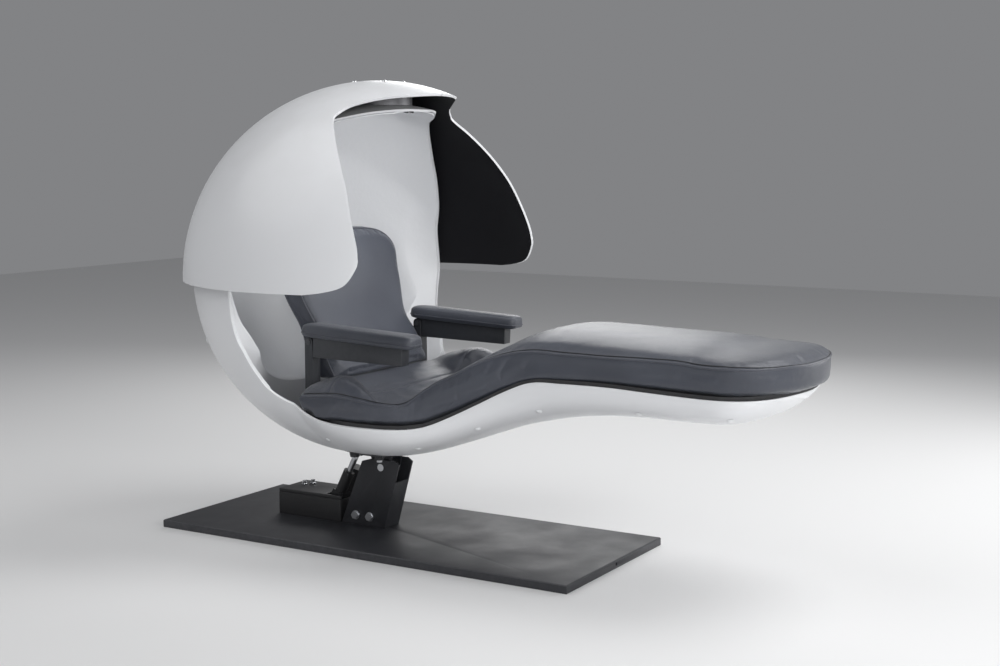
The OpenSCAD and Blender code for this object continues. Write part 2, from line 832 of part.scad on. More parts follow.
function back_loop(z, shrink) =
  let (
    half = back_width(z) - shrink,
    front = back_front(z) - shrink / 2,
    thick = back_t - shrink,
    rear = front - thick
  )
  concat(
    [
      for (s = back_front_shares)
        let (u = abs(s))
        [
          front + (u < 1 ? back_crown * (1 - u * u) * (1 - shrink / back_edge) : -back_edge / 2),
          s * half,
          z
        ]
    ],
    [[mix(front, rear, back_mid_share), half - draw_in, z]],
    [for (s = back_rear_shares) [rear, s * half, z]],
    [[mix(front, rear, back_mid_share), -half + draw_in, z]]
  );
back_steps = 13;
back_round_steps = 6;
back_stations = concat(
  [
    [-back_bottom, back_edge],
    [-back_bottom + back_edge * cushion_edge_share, back_edge * cushion_edge_share]
  ],
  [
    for (i = [0:back_steps - 1])
      [mix(-back_bottom + back_edge, back_top - shoulder_round, i / back_steps), 0]
  ],
  [
    for (i = [0:back_round_steps])
      let (a = 90 * i / back_round_steps)
      [
        back_top - shoulder_round + shoulder_round * sin(a),
        back_edge * pow(i / back_round_steps, back_edge_power)
      ]
  ]
);
// Front face of the board behind the backrest
function back_board_face(z) = back_front(z) - back_t - seat_gap;
// Heights of the board's bends, which are the same as those of the cushion
board_heights = [for (i = [2:len(back_stations) - 5]) back_stations[i][0]];
back_board_inset = 40;
back_rail_depth = 24;
back_rail_w = 28;
back_rail_offset = 130;
back_foot_h = 24;

// Arms

post_base = rail_top;
pivot = [-post_back, 0, post_base + arm_rise];
fork_wall = 8;
fork_slot = arm_w - 2 * fork_wall;
tongue_w = fork_slot - 2 * side_gap;
beam_gap = 1;
pad_rear = 29;
// Gap between the post's round top and the pad
pad_gap = 1.8;
pad_lift = post_depth / 2 + pad_gap;
beam_top = pad_lift - seat_gap;
pad_section_shares = [
  [-1, 0.3], [-0.97, 0.62], [-0.82, 0.9], [-0.45, 1], [0, 1.03], [0.45, 1], [0.82, 0.9],
  [0.97, 0.62], [1, 0.3], [0.93, 0.06], [0.8, 0], [0, 0], [-0.8, 0], [-0.93, 0.06]
];
pad_end_shares = [
  [0, 0.4], [0.02, 0.68], [0.05, 0.86], [0.1, 0.96], [0.2, 1], [0.4, 1], [0.6, 1], [0.8, 1], [0.92, 0.99],
  [0.96, 0.95], [0.985, 0.82], [1, 0.55]
];

// Control box

box_column_gap = 4;
box_front = column_rear_foot - box_column_gap;
box_near = -43;
lid_t = 12;
lid_window = [70, 112];
lid_window_near = 30;
connector_d = 16;
connector_h = 14;
connector_flange = 4;
// Places of the connectors from the box's rear near corner
connector_places = [[44, 85], [60, 111]];

// Opening of the visor in side view, as shares of its radius
opening_shares = [
  [0.192, 0], [0.278, 0.011], [0.358, 0.032], [0.398, 0.064], [0.427, 0.118], [0.434, 0.149],
  [0.432, 0.171], [0.421, 0.229], [0.382, 0.341], [0.33, 0.474], [0.253, 0.608], [0.173, 0.723],
  [0.112, 0.803], [0.115, 0.834], [0.143, 0.866], [0.2, 0.891], [0.25, 0.906], [0.29, 0.914],
  [0.33, 0.92], [0.37, 0.929]
];
opening_steps = 2;
// Where the cut leaves the visor's top, as a share of its reach
opening_top_share = 0.456;
opening_line = path_through(scaled(opening_shares, visor_radius, visor_radius), opening_steps);

// Liner: raised panel inside a crease, with a sloping border out to the shell's edge

liner_turns = [
  14, 20, 26, 31, 33, 36, 39, 41, 44, 48, 52, 57, 65, 73, 81, 90, 99, 108, 117, 126, 135, 144,
  153, 161, 169, 176, 181.5, 187, 190, 192.5, 194.5
];
liner_edge_angle = 0.6;
// Side angle of the crease as a share of the shell's edge, and the panel's rise as a share
crease_side_shares = [
  [14, 0.7], [33, 0.71], [41, 0.77], [49, 0.86], [60, 0.91], [85, 0.87], [110, 0.84], [140, 0.84],
  [195, 0.84]
];
crease_rise_shares = [
  [14, 0], [31, 0], [33, 0.03], [41, 0.95], [43, 0.97], [48, 0.85], [60, 0.55], [85, 0.56],
  [110, 0.42], [128, 0.18], [142, 0], [195, 0]
];
crease_column_share = 0.7;
liner_columns = [
  -1, -0.9, -0.8, -0.7, -0.58, -0.44, -0.3, -0.15, 0, 0.15, 0.3, 0.44, 0.58, 0.7, 0.8, 0.9, 1
];
function liner_side(turn, column) =
  let (
    edge = bowl_side(turn) - liner_edge_angle,
    crease = curve_at(turn, crease_side_shares),
    u = abs(column),
    share = u < crease_column_share
      ? crease * u / crease_column_share
      : mix(crease, 1, (u - crease_column_share) / (1 - crease_column_share))
  )
  (column < 0 ? -1 : 1) * edge * share;
function liner_rise(turn, column) =
  liner_crease * max(curve_at(turn, crease_rise_shares), 0)
  * (1 - clamp01((abs(column) - crease_column_share) / (1 - crease_column_share)));
function liner_point(turn, column, depth) =
  bowl_point(turn, liner_side(turn, column), depth + liner_rise(turn, column));
function liner_rows(depth) =
  [for (turn = liner_turns) [for (column = liner_columns) liner_point(turn, column, depth)]];
liner_depth = shell_wall + liner_gap;
lamp_h = 6;
lamp_turn = 192;
lamp_side_angle = 1.6;
lamp_gap = 1.4;

// Base modules

module plate_bevels() {
  side_length = plate_bevel * sqrt(2);
  for (side = [-1, 1]) {
    translate([side * plate_length / 2, 0, plate_t])
      rotate([0, 45, 0])
        cube([side_length, plate_width + overrun, side_length], center = true);
    translate([0, side * plate_width / 2, plate_t])
      rotate([45, 0, 0])
        cube([plate_length + overrun, side_length, side_length], center = true);
  }
}

module bracket_screw_places() {
  for (side = [-1, 1]) {
    translate([-column_foot_back + side * bracket_screw_spacing / 2, 0, 0]) children();
  }
}

module base_plate() {
  color(frame_grey)
    difference() {
      translate([-plate_length / 2, -plate_width / 2, 0]) cube([plate_length, plate_width, plate_t]);
      plate_bevels();
      translate([plate_length / 2 - plate_socket_depth, 0, plate_t / 2])
        rotate([0, 90, 0])
          cylinder(d = plate_socket_d, h = plate_socket_depth + overrun, $fn = small_fn);
      bracket_screw_places() {
        translate([0, 0, -overrun])
          cylinder(d = bracket_screw_d + 2 * screw_gap, h = plate_t + 2 * overrun, $fn = small_fn);
        translate([0, 0, -overrun])
          cylinder(
            d = bracket_screw_head_d + 2 * screw_gap,
            h = bracket_screw_head_t + overrun + seat_gap,
            $fn = small_fn
          );
      }
    }
}

module plate_screws() {
  color(steel_grey)
    bracket_screw_places() {
      translate([0, 0, seat_gap]) {
        cylinder(d = bracket_screw_head_d, h = bracket_screw_head_t, $fn = small_fn);
        cylinder(
          d = bracket_screw_d,
          h = plate_top + bracket_flange_t - seat_gap,
          $fn = small_fn
        );
      }
    }
}

module foot_bolt_places() {
  for (side = [-1, 1]) {
    translate([-column_foot_back + side * foot_bolt_spacing / 2, 0, plate_top + foot_bolt_height])
      rotate([90, 0, 0])
        children();
  }
}

module foot_bracket() {
  color(frame_grey)
    difference() {
      union() {
        translate([-column_foot_back - bracket_length / 2, -cheek_inner, plate_top])
          cube([bracket_length, 2 * cheek_inner, bracket_flange_t]);
        for (y = [-cheek_inner, cheek_inner - bracket_t]) {
          translate([-column_foot_back - bracket_length / 2, y, plate_top])
            cube([bracket_length, bracket_t, bracket_h + foot_bolt_d / 2]);
        }
      }
      foot_bolt_places()
        cylinder(d = foot_bolt_d + 2 * screw_gap, h = column_w, center = true, $fn = small_fn);
      bracket_screw_places()
        translate([0, 0, plate_top - overrun])
          cylinder(d = bracket_screw_d + 2 * fit_gap, h = bracket_flange_t + 2 * overrun, $fn = small_fn);
    }
}

// A plate in side view between two distances from the middle, on both sides of the pod
module side_plates(inner, outer) {
  for (side = [-1, 1]) {
    translate([0, side > 0 ? outer : -inner, 0])
      rotate([90, 0, 0])
        linear_extrude(height = outer - inner)
          children();
  }
}

module column() {
  color(frame_grey)
    difference() {
      union() {
        side_plates(cheek_inner, column_w / 2) polygon(column_outline);
        translate([0, cheek_inner, 0])
          rotate([90, 0, 0])
            linear_extrude(height = 2 * cheek_inner) {
              polygon([
                [column_rear_foot, plate_top],
                [column_rear_foot + column_wall, plate_top],
                [column_rear_x(web_top) + column_wall, web_top],
                [column_rear_x(web_top), web_top]
              ]);
              polygon([
                [column_front_foot - column_wall, plate_top],
                [column_front_foot, plate_top],
                [column_front_x(web_top), web_top],
                [column_front_x(web_top) - column_wall, web_top]
              ]);
            }
      }
      foot_bolt_places()
        cylinder(
          d = foot_bolt_d + 2 * screw_gap,
          h = column_w + 2 * overrun,
          center = true,
          $fn = small_fn
        );
      translate(axle)
        rotate([90, 0, 0])
          cylinder(d = axle_d + 2 * fit_gap, h = column_w + 2 * overrun, center = true, $fn = round_fn);
    }
}

module foot_bolts() {
  head_d = foot_bolt_d * bolt_head_ratio;
  color(steel_grey)
    foot_bolt_places() {
      cylinder(d = foot_bolt_d, h = column_w + 2 * bolt_head_t, center = true, $fn = small_fn);
      for (side = [-1, 1]) {
        translate([0, 0, side * (column_w + bolt_washer_t) / 2])
          cylinder(d = head_d + 2 * bolt_washer_t, h = bolt_washer_t, center = true, $fn = small_fn);
        translate([0, 0, side * (column_w + bolt_head_t + bolt_washer_t) / 2])
          cylinder(d = head_d, h = bolt_head_t, center = true, $fn = 6);
      }
    }
}

module tilt_axle() {
  color(steel_grey)
    translate(axle)
      rotate([90, 0, 0])
        cylinder(d = axle_d, h = column_w - 2 * seat_gap, center = true, $fn = round_fn);
}

module axle_collars() {
  color(steel_grey)
    translate(axle)
      for (y = [lug_inner - side_gap, collar_w + side_gap - lug_inner]) {
        translate([0, y, 0])
          rotate([90, 0, 0])
            difference() {
              cylinder(d = axle_d + 2 * collar_wall, h = collar_w, $fn = round_fn);
              translate([0, 0, -overrun])
                cylinder(d = axle_d + 2 * fit_gap, h = collar_w + 2 * overrun, $fn = round_fn);
            }
      }
}

module actuator_lug() {
  ear = eye_w / 2 + side_gap;
  color(frame_grey)
    difference() {
      union() {
        translate([lower_pin[0] - lug_foot_half, -ear - cradle_t, plate_top])
          cube([2 * lug_foot_half, 2 * (ear + cradle_t), cradle_t]);
        side_plates(ear, ear + cradle_t) {
          translate([lower_pin[0], lower_pin[2]]) circle(r = pin_lug_radius, $fn = small_fn);
          translate([lower_pin[0] - pin_lug_radius, plate_top])
            square([2 * pin_lug_radius, lower_pin_height]);
        }
      }
      translate(lower_pin)
        rotate([90, 0, 0])
          cylinder(d = actuator_pin_d + 2 * fit_gap, h = column_w, center = true, $fn = small_fn);
    }
}

// A headed pin along Y
module cross_pin(diameter, grip) {
  rotate([90, 0, 0]) {
    cylinder(d = diameter, h = grip + 2 * pin_head_t, center = true, $fn = small_fn);
    for (side = [-1, 1]) {
      translate([0, 0, side * (grip + pin_head_t) / 2])
        cylinder(d = diameter * pin_head_ratio, h = pin_head_t, center = true, $fn = small_fn);
    }
  }
}

module actuator_lower_pin() {
  color(steel_grey)
    translate(lower_pin) cross_pin(actuator_pin_d, eye_w + 2 * side_gap + 2 * cradle_t);
}

module actuator_upper_pin() {
  color(steel_grey)
    translate(upper_pin) cross_pin(actuator_pin_d, 2 * rear_lug_outer);
}

// Frame of the actuator, with Z from its lower pin to its upper pin
module along_actuator() {
  translate(lower_pin) rotate([0, actuator_lean, 0]) children();
}

module actuator_housing() {
  color(dark)
    along_actuator()
      difference() {
        union() {
          rotate([90, 0, 0])
            cylinder(r = pin_lug_radius - overrun, h = eye_w, center = true, $fn = small_fn);
          translate([-pin_lug_radius / 2, -eye_w / 2, 0])
            cube([pin_lug_radius, eye_w, gearbox_from + overrun]);
          translate([-gearbox_depth / 2, -gearbox_depth / 2, gearbox_from])
            cube([
              gearbox_depth,
              gearbox_depth / 2 + motor_side + motor_d / 2,
              gearbox_to - gearbox_from
            ]);
          translate([0, 0, gearbox_to - overrun])
            cylinder(d = actuator_tube_d, h = tube_top - gearbox_to + overrun, $fn = round_fn);
        }
        rotate([90, 0, 0])
          cylinder(d = actuator_pin_d + 2 * running_gap, h = column_w, center = true, $fn = small_fn);
        translate([0, 0, actuator_length * tube_bore_low_share])
          cylinder(d = rod_d + 2 * running_gap, h = tube_top, $fn = round_fn);
      }
}

module actuator_motor() {
  color(dark)
    along_actuator()
      translate([0, motor_side, gearbox_to])
        cylinder(d = motor_d, h = motor_length, $fn = round_fn);
}

module actuator_rod() {
  color(steel_grey)
    along_actuator()
      difference() {
        union() {
          translate([0, 0, actuator_length * rod_low_share])
            cylinder(
              d = rod_d,
              h = actuator_length * (1 - rod_low_share) - rod_eye_r / 2,
              $fn = round_fn
            );
          translate([0, 0, actuator_length])
            rotate([90, 0, 0])
              cylinder(r = rod_eye_r, h = 2 * (rear_lug_inner - side_gap), center = true, $fn = small_fn);
        }
        translate([0, 0, actuator_length])
          rotate([90, 0, 0])
            cylinder(d = actuator_pin_d + 2 * rod_clearance, h = column_w, center = true, $fn = small_fn);
      }
}

// Control box

box_rear = box_front - box_length;
box_body_h = box_height - lid_t;

module control_box() {
  color(dark)
    translate([box_rear, box_near, plate_top])
      difference() {
        cube([box_length, box_width, box_body_h]);
        translate([box_wall, box_wall, -overrun])
          cube([box_length - 2 * box_wall, box_width - 2 * box_wall, box_body_h + 2 * overrun]);
      }
}

module control_box_lid() {
  color(dark)
    translate([box_rear, box_near, plate_top + box_body_h])
      difference() {
        cube([box_length, box_width, lid_t]);
        translate([box_length + overrun - lid_window[0], -box_near - lid_window_near, -overrun])
          cube([lid_window[0], lid_window[1], lid_t + 2 * overrun]);
      }
}

module box_connectors() {
  color(steel_grey)
    for (p = connector_places) {
      translate([box_rear + p[0], box_near + p[1], plate_top + box_height]) {
        cylinder(d = connector_d, h = connector_h, $fn = small_fn);
        cylinder(d = connector_d + 2 * connector_flange, h = connector_flange, $fn = 6);
      }
    }
}

// Pod: the bowl's lifted centre

lifted_centre = centre + [0, 0, bowl_lift];

module cradle_bolt_places() {
  for (x = cradle_bolt_x, side = [-1, 1]) {
    translate([-axle_back + x, side * cradle_bolt_y, 0]) children();
  }
}

cradle_pan_radius = bowl_radius + cradle_skin_gap + cradle_t;
cradle_boss_face = lifted_centre[2] - cradle_pan_radius - cradle_boss_drop / 2;

module cradle() {
  color(frame_grey)
    difference() {
      union() {
        intersection() {
          translate(lifted_centre) sphere(r = cradle_pan_radius, $fn = sphere_fn);
          translate([-axle_back - cradle_rear, -cradle_half, cradle_boss_face])
            cube([cradle_rear + cradle_front, 2 * cradle_half, cradle_pan_radius]);
        }
        side_plates(lug_inner, lug_outer) {
          translate([axle[0], axle[2]]) circle(r = lug_radius, $fn = round_fn);
          polygon([
            [axle[0] - lug_radius, axle[2]],
            [axle[0] + lug_radius, axle[2]],
            [axle[0] + cradle_front, axle[2] + lug_spread],
            [axle[0] - lug_spread, axle[2] + lug_spread]
          ]);
        }
        side_plates(rear_lug_inner, rear_lug_outer) {
          translate([upper_pin[0], upper_pin[2]]) circle(r = pin_lug_radius, $fn = small_fn);
          translate([upper_pin[0] - pin_lug_radius, upper_pin[2]])
            square([2 * pin_lug_radius, upper_pin_rise]);
        }
        cradle_bolt_places()
          translate([0, 0, cradle_boss_face])
            cylinder(r = cradle_boss_r, h = cradle_boss_drop + cradle_t, $fn = small_fn);
      }
      translate(lifted_centre) sphere(r = bowl_radius + cradle_skin_gap, $fn = sphere_fn);
      translate(axle)
        rotate([90, 0, 0])
          cylinder(d = axle_d + 2 * bush_wall + 2 * fit_gap, h = column_w, center = true, $fn = round_fn);
      translate(upper_pin)
        rotate([90, 0, 0])
          cylinder(d = actuator_pin_d + 2 * fit_gap, h = column_w, center = true, $fn = small_fn);
      cradle_bolt_places()
        translate([0, 0, cradle_boss_face - overrun])
          cylinder(d = cradle_bolt_d + 2 * screw_gap, h = cradle_pan_radius, $fn = small_fn);
    }
}

module tilt_bushes() {
  color(bronze)
    translate(axle)
      for (side = [-1, 1]) {
        rotate([side * 90, 0, 0])
          translate([0, 0, lug_inner])
            difference() {
              union() {
                cylinder(d = axle_d + 2 * bush_wall, h = cradle_t + bush_flange_t, $fn = round_fn);
                translate([0, 0, cradle_t])
                  cylinder(
                    d = axle_d + 2 * bush_wall + 2 * bush_flange,
                    h = bush_flange_t,
                    $fn = round_fn
                  );
              }
              translate([0, 0, -overrun])
                cylinder(
                  d = axle_d + 2 * running_gap,
                  h = cradle_t + bush_flange_t + 2 * overrun,
                  $fn = round_fn
                );
            }
      }
}

bolt_tip = rail_bottom + rail_h * bolt_in_rail_share;

module cradle_bolts() {
  color(steel_grey)
    cradle_bolt_places()
      translate([0, 0, cradle_boss_face - cradle_bolt_head_t]) {
        cylinder(d = cradle_bolt_d * bolt_head_ratio, h = cradle_bolt_head_t, $fn = 6);
        cylinder(d = cradle_bolt_d, h = bolt_tip - cradle_boss_face + cradle_bolt_head_t, $fn = small_fn);
      }
}

module seat_frame() {
  rail_rear = pivot[0] - post_depth / 2;
  rail_front = centre[0] + rail_front_share * seat_reach;
  post_outer = arm_offset + arm_w / 2;
  color(frame_grey)
    difference() {
      union() {
        for (side = [-1, 1]) {
          translate([rail_rear, side * cradle_bolt_y - rail_w / 2, rail_bottom])
            cube([rail_front - rail_rear, rail_w, rail_h]);
        }
        intersection() {
          translate([rail_rear, -post_outer, rail_bottom])
            cube([post_depth, 2 * post_outer, rail_h]);
          translate(lifted_centre) sphere(r = bowl_radius - shell_wall - facet_gap, $fn = sphere_fn);
        }
        intersection() {
          cradle_bolt_places()
            translate([0, 0, lifted_centre[2] - bowl_radius])
              cylinder(
                r = frame_foot_r,
                h = rail_bottom - lifted_centre[2] + bowl_radius + overrun,
                $fn = small_fn
              );
          translate(lifted_centre) sphere(r = bowl_radius - shell_wall - facet_gap, $fn = sphere_fn);
        }
      }
      cradle_bolt_places()
        translate([0, 0, lifted_centre[2] - bowl_radius])
          cylinder(
            d = cradle_bolt_d + 2 * fit_gap,
            h = bolt_tip + seat_gap - lifted_centre[2] + bowl_radius,
            $fn = small_fn
          );
    }
}

module seat_shell() {
  color(white)
    difference() {
      at_centre() shell_solid();
      cradle_bolt_places()
        translate([0, 0, cradle_boss_face])
          cylinder(d = cradle_bolt_d + 2 * screw_gap, h = rail_bottom - cradle_boss_face, $fn = small_fn);
      at_centre()
        around_pole(turntable_screw_circle, 45)
          translate([0, 0, canopy_top - turntable_drop])
            cylinder(d = turntable_screw_d + 2 * screw_gap, h = 2 * turntable_drop, $fn = small_fn);
      at_centre()
        for (place = cap_places) {
          translate(place[0])
            aim(place[1])
              cylinder(
                d = cap_shank_d + 2 * screw_gap,
                h = cap_hole_length,
                center = true,
                $fn = small_fn
              );
        }
    }
}

module shell_screws() {
  cap_sphere = (pow(cap_d / 2, 2) + pow(cap_height, 2)) / (2 * cap_height);
  color(white)
    at_centre()
      for (place = cap_places) {
        translate(place[0])
          aim(place[1]) {
            translate([0, 0, cap_lift])
              intersection() {
                translate([0, 0, cap_height - cap_sphere]) sphere(r = cap_sphere, $fn = small_fn);
                cylinder(d = cap_d, h = cap_height, $fn = small_fn);
              }
            translate([0, 0, -shell_wall])
              cylinder(d = cap_shank_d, h = shell_wall + cap_height / 2, $fn = small_fn);
          }
      }
}

module liner() {
  color(light_grey)
    at_centre()
      thick_sheet(liner_rows(liner_depth), liner_rows(liner_depth + liner_wall), false);
}

module canopy_lamps() {
  color(dark)
    at_centre()
      for (side = [-1, 1]) {
        angle = side * lamp_side_angle;
        direction = bowl_direction(lamp_turn, angle);
        translate(bowl_point(lamp_turn, angle, liner_depth + liner_wall + lamp_gap))
          aim(-direction)
            cylinder(d = lamp_d, h = lamp_h, $fn = small_fn);
      }
}

module seat_board() {
  color(dark)
    at_centre()
      loft([for (x = board_stations) board_loop(x)], 4);
}

module seat_cushion() {
  color(leather_grey)
    at_centre()
      loft([for (p = cushion_stations) cushion_loop(p[0], p[1])], len(top_shares));
}

// Side outline of a strip behind the backrest, from one depth to another
function back_strip(from_depth, to_depth) = concat(
  [for (z = board_heights) [back_board_face(z) - from_depth, z]],
  [
    for (i = [len(board_heights) - 1:-1:0])
      [back_board_face(board_heights[i]) - to_depth, board_heights[i]]
  ]
);

module back_board() {
  board_half = back_half - back_board_inset;
  color(dark)
    at_centre()
      translate([0, board_half, 0])
        rotate([90, 0, 0])
          linear_extrude(height = 2 * board_half)
            polygon(back_strip(0, back_board_t));
}

module back_frame() {
  foot_z = rail_top - centre_height;
  foot_x = pivot[0] - centre[0] - post_depth / 2;
  low = board_heights[0];
  low_face = back_board_face(low) - back_board_t;
  color(frame_grey)
    at_centre()
      side_plates(back_rail_offset - back_rail_w / 2, back_rail_offset + back_rail_w / 2) {
        polygon(back_strip(back_board_t, back_board_t + back_rail_depth));
        polygon([
          [foot_x, foot_z],
          [foot_x + post_depth, foot_z],
          [foot_x + post_depth, foot_z + back_foot_h],
          [low_face, low],
          [low_face - back_rail_depth, low]
        ]);
      }
}

module backrest_cushion() {
  color(leather_grey)
    at_centre()
      loft([for (p = back_stations) back_loop(p[0], p[1])], len(back_front_shares));
}

// Arms: the left arm is on the sitter's left, at +Y

module arm_post(side) {
  color(frame_grey)
    translate([pivot[0], side * arm_offset, 0])
      difference() {
        union() {
          translate([-post_depth / 2, -arm_w / 2, post_base])
            cube([post_depth, arm_w, pivot[2] - post_base]);
          translate([0, 0, pivot[2]])
            rotate([90, 0, 0])
              cylinder(d = post_depth, h = arm_w, center = true, $fn = round_fn);
        }
        translate([-post_depth, -fork_slot / 2, pivot[2] - post_depth / 2 - side_gap])
          cube([2 * post_depth, fork_slot, 2 * post_depth]);
        translate([0, 0, pivot[2]])
          rotate([90, 0, 0])
            cylinder(d = arm_pin_d + 2 * fit_gap, h = arm_w + 2 * overrun, center = true, $fn = small_fn);
      }
}

module arm_pin(side) {
  color(steel_grey)
    translate([pivot[0], side * arm_offset, pivot[2]]) cross_pin(arm_pin_d, arm_w);
}

// Frame of an arm that folds about its hinge, with X along its top
module arm_frame(side) {
  translate([pivot[0], side * arm_offset, pivot[2]]) rotate([0, arm_slope, 0]) children();
}

beam_rear = post_depth / 2 + beam_gap + (beam_h - beam_top) * tan(arm_slope);
beam_front_share = 0.86;
module arm_beam(side) {
  color(frame_grey)
    arm_frame(side)
      difference() {
        union() {
          translate([0, arm_w / 2, 0])
            rotate([90, 0, 0])
              linear_extrude(height = arm_w)
                polygon([
                  [beam_rear, beam_top - beam_h],
                  [beam_length, beam_top - beam_h * beam_front_share],
                  [beam_length, beam_top],
                  [beam_rear, beam_top]
                ]);
          rotate([90, 0, 0])
            cylinder(d = post_depth - 2 * side_gap, h = tongue_w, center = true, $fn = round_fn);
          translate([0, -tongue_w / 2, -post_depth / 2 + side_gap])
            cube([beam_rear + overrun, tongue_w, post_depth - 2 * side_gap]);
        }
        rotate([90, 0, 0])
          cylinder(d = arm_pin_d + 2 * running_gap, h = arm_w + overrun, center = true, $fn = small_fn);
      }
}

module arm_pad(side) {
  color(leather_grey)
    arm_frame(side)
      loft(
        [
          for (e = pad_end_shares)
            [
              for (p = pad_section_shares)
                let (
                  lift_share = p[1] * mix(e[1], 1, pad_end_lift_share),
                  rise_share = pad_end_rise_share * (1 - e[1])
                )
                [
                  e[0] * pad_length - pad_rear,
                  -p[0] * pad_w / 2 * e[1],
                  pad_lift + pad_t * (lift_share + rise_share)
                ]
            ]
        ],
        pad_upper_count
      );
}
pad_end_lift_share = 0.35;
pad_end_rise_share = 0.15;
pad_upper_count = 9;

module arm_post_left() {
  arm_post(1);
}

module arm_post_right() {
  arm_post(-1);
}

module arm_pin_left() {
  arm_pin(1);
}

module arm_pin_right() {
  arm_pin(-1);
}

module arm_beam_left() {
  arm_beam(1);
}

module arm_beam_right() {
  arm_beam(-1);
}

module arm_pad_left() {
  arm_pad(1);
}

module arm_pad_right() {
  arm_pad(-1);
}

// Turntable and visor

base_face = running_face - slip_washer_t;
turntable_head_d = 11;
turntable_head_t = 6;
spindle_web = 9;

module turntable_base() {
  color(frame_grey)
    at_centre()
      difference() {
        cylinder(r = turntable_r, h = base_face, $fn = round_fn);
        sphere(r = canopy_seat_radius, $fn = sphere_fn);
        translate([0, 0, canopy_top])
          cylinder(d = spindle_d + 2 * fit_gap, h = base_face, $fn = round_fn);
        around_pole(turntable_screw_circle, 45) {
          translate([0, 0, base_face - turntable_head_t - seat_gap])
            cylinder(d = turntable_head_d + 2 * screw_gap, h = base_face, $fn = small_fn);
          cylinder(d = turntable_screw_d + 2 * screw_gap, h = base_face, $fn = small_fn);
        }
      }
}

module turntable_screws() {
  color(steel_grey)
    at_centre()
      around_pole(turntable_screw_circle, 45) {
        translate([0, 0, base_face - turntable_head_t - seat_gap])
          cylinder(d = turntable_head_d, h = turntable_head_t, $fn = small_fn);
        translate([0, 0, canopy_top - shell_wall])
          cylinder(
            d = turntable_screw_d,
            h = base_face - turntable_head_t - canopy_top + shell_wall,
            $fn = small_fn
          );
      }
}

module slip_washer() {
  color(white)
    at_centre()
      translate([0, 0, base_face])
        difference() {
          cylinder(r = turntable_r - slip_washer_t, h = slip_washer_t - seat_gap, $fn = round_fn);
          translate([0, 0, -overrun])
            cylinder(d = spindle_d + 2 * screw_gap, h = slip_washer_t + 2 * overrun, $fn = round_fn);
        }
}

module visor_spindle() {
  color(steel_grey)
    at_centre() {
      translate([0, 0, canopy_top + 2 * seat_gap])
        cylinder(d = spindle_d, h = running_face + spindle_web - canopy_top, $fn = round_fn);
      translate([0, 0, running_face + spindle_web + seat_gap])
        cylinder(d = spindle_head_d, h = spindle_head_t, $fn = round_fn);
    }
}

// Radial places of the visor's screws
module visor_screw_places() {
  tip_angle = asin(visor_screw_circle / visor_radius);
  for (i = [0:3]) {
    rotate([0, tip_angle, 45 + 90 * i]) children();
  }
}
visor_screw_grip = 12;
visor_screw_head_ratio = 2;
visor_screw_head_share = 0.6;

module turntable_ring() {
  color(frame_grey)
    at_centre()
      rotate([0, 0, visor_turn])
        difference() {
          intersection() {
            translate([0, 0, running_face])
              cylinder(r = turntable_r, h = visor_inner, $fn = round_fn);
            sphere(r = visor_inner - fit_gap, $fn = sphere_fn);
          }
          cylinder(d = spindle_d + 2 * running_gap, h = visor_inner, $fn = round_fn);
          translate([0, 0, running_face + spindle_web])
            cylinder(d = spindle_head_d + 2 * side_gap, h = visor_inner, $fn = round_fn);
          visor_screw_places()
            translate([0, 0, visor_inner - visor_screw_grip - seat_gap])
              cylinder(d = visor_screw_d + 2 * fit_gap, h = visor_inner, $fn = small_fn);
        }
}

module visor_shell() {
  reach = visor_radius + overrun;
  color(white)
    at_centre()
      rotate([0, 0, visor_turn])
        difference() {
          rotate_extrude($fn = sphere_fn)
            intersection() {
              difference() {
                circle(r = visor_radius, $fn = sphere_fn);
                circle(r = visor_inner, $fn = sphere_fn);
              }
              square([reach, reach]);
            }
          translate([0, reach, 0])
            rotate([90, 0, 0])
              linear_extrude(height = 2 * reach)
                polygon(concat(
                  opening_line,
                  [
                    [reach * opening_top_share, reach],
                    [reach, reach],
                    [reach, -overrun],
                    [opening_line[0][0], -overrun]
                  ]
                ));
          visor_screw_places()
            translate([0, 0, visor_inner - overrun])
              cylinder(d = visor_screw_d + 2 * screw_gap, h = visor_wall + 2 * overrun, $fn = small_fn);
        }
}

module visor_screws() {
  head_r = visor_screw_d * visor_screw_head_ratio / 2;
  head_h = head_r * visor_screw_head_share;
  head_sphere = (pow(head_r, 2) + pow(head_h, 2)) / (2 * head_h);
  color(steel_grey)
    at_centre()
      rotate([0, 0, visor_turn])
        visor_screw_places()
          translate([0, 0, visor_radius + seat_gap]) {
            intersection() {
              translate([0, 0, head_h - head_sphere]) sphere(r = head_sphere, $fn = small_fn);
              cylinder(r = head_r, h = head_h, $fn = small_fn);
            }
            translate([0, 0, -visor_wall - visor_screw_grip])
              cylinder(d = visor_screw_d, h = visor_wall + visor_screw_grip + head_h / 2, $fn = small_fn);
          }
}

base_plate();
foot_bracket();
plate_screws();
column();
foot_bolts();
tilt_axle();
axle_collars();
actuator_lug();
actuator_lower_pin();
control_box();
control_box_lid();
box_connectors();
actuator_housing();
actuator_motor();
actuator_rod();
actuator_upper_pin();
cradle();
tilt_bushes();
cradle_bolts();
seat_frame();
seat_shell();
shell_screws();
liner();
canopy_lamps();
seat_board();
seat_cushion();
back_frame();
back_board();
backrest_cushion();
arm_post_left();
arm_post_right();
arm_pin_left();
arm_pin_right();
arm_beam_left();
arm_beam_right();
arm_pad_left();
arm_pad_right();
turntable_base();
turntable_screws();
slip_washer();
visor_spindle();
turntable_ring();
visor_shell();
visor_screws();
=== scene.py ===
import math
import bpy
import bmesh
import numpy as np
from mathutils import Matrix, Vector, noise
from mathutils.bvhtree import BVHTree


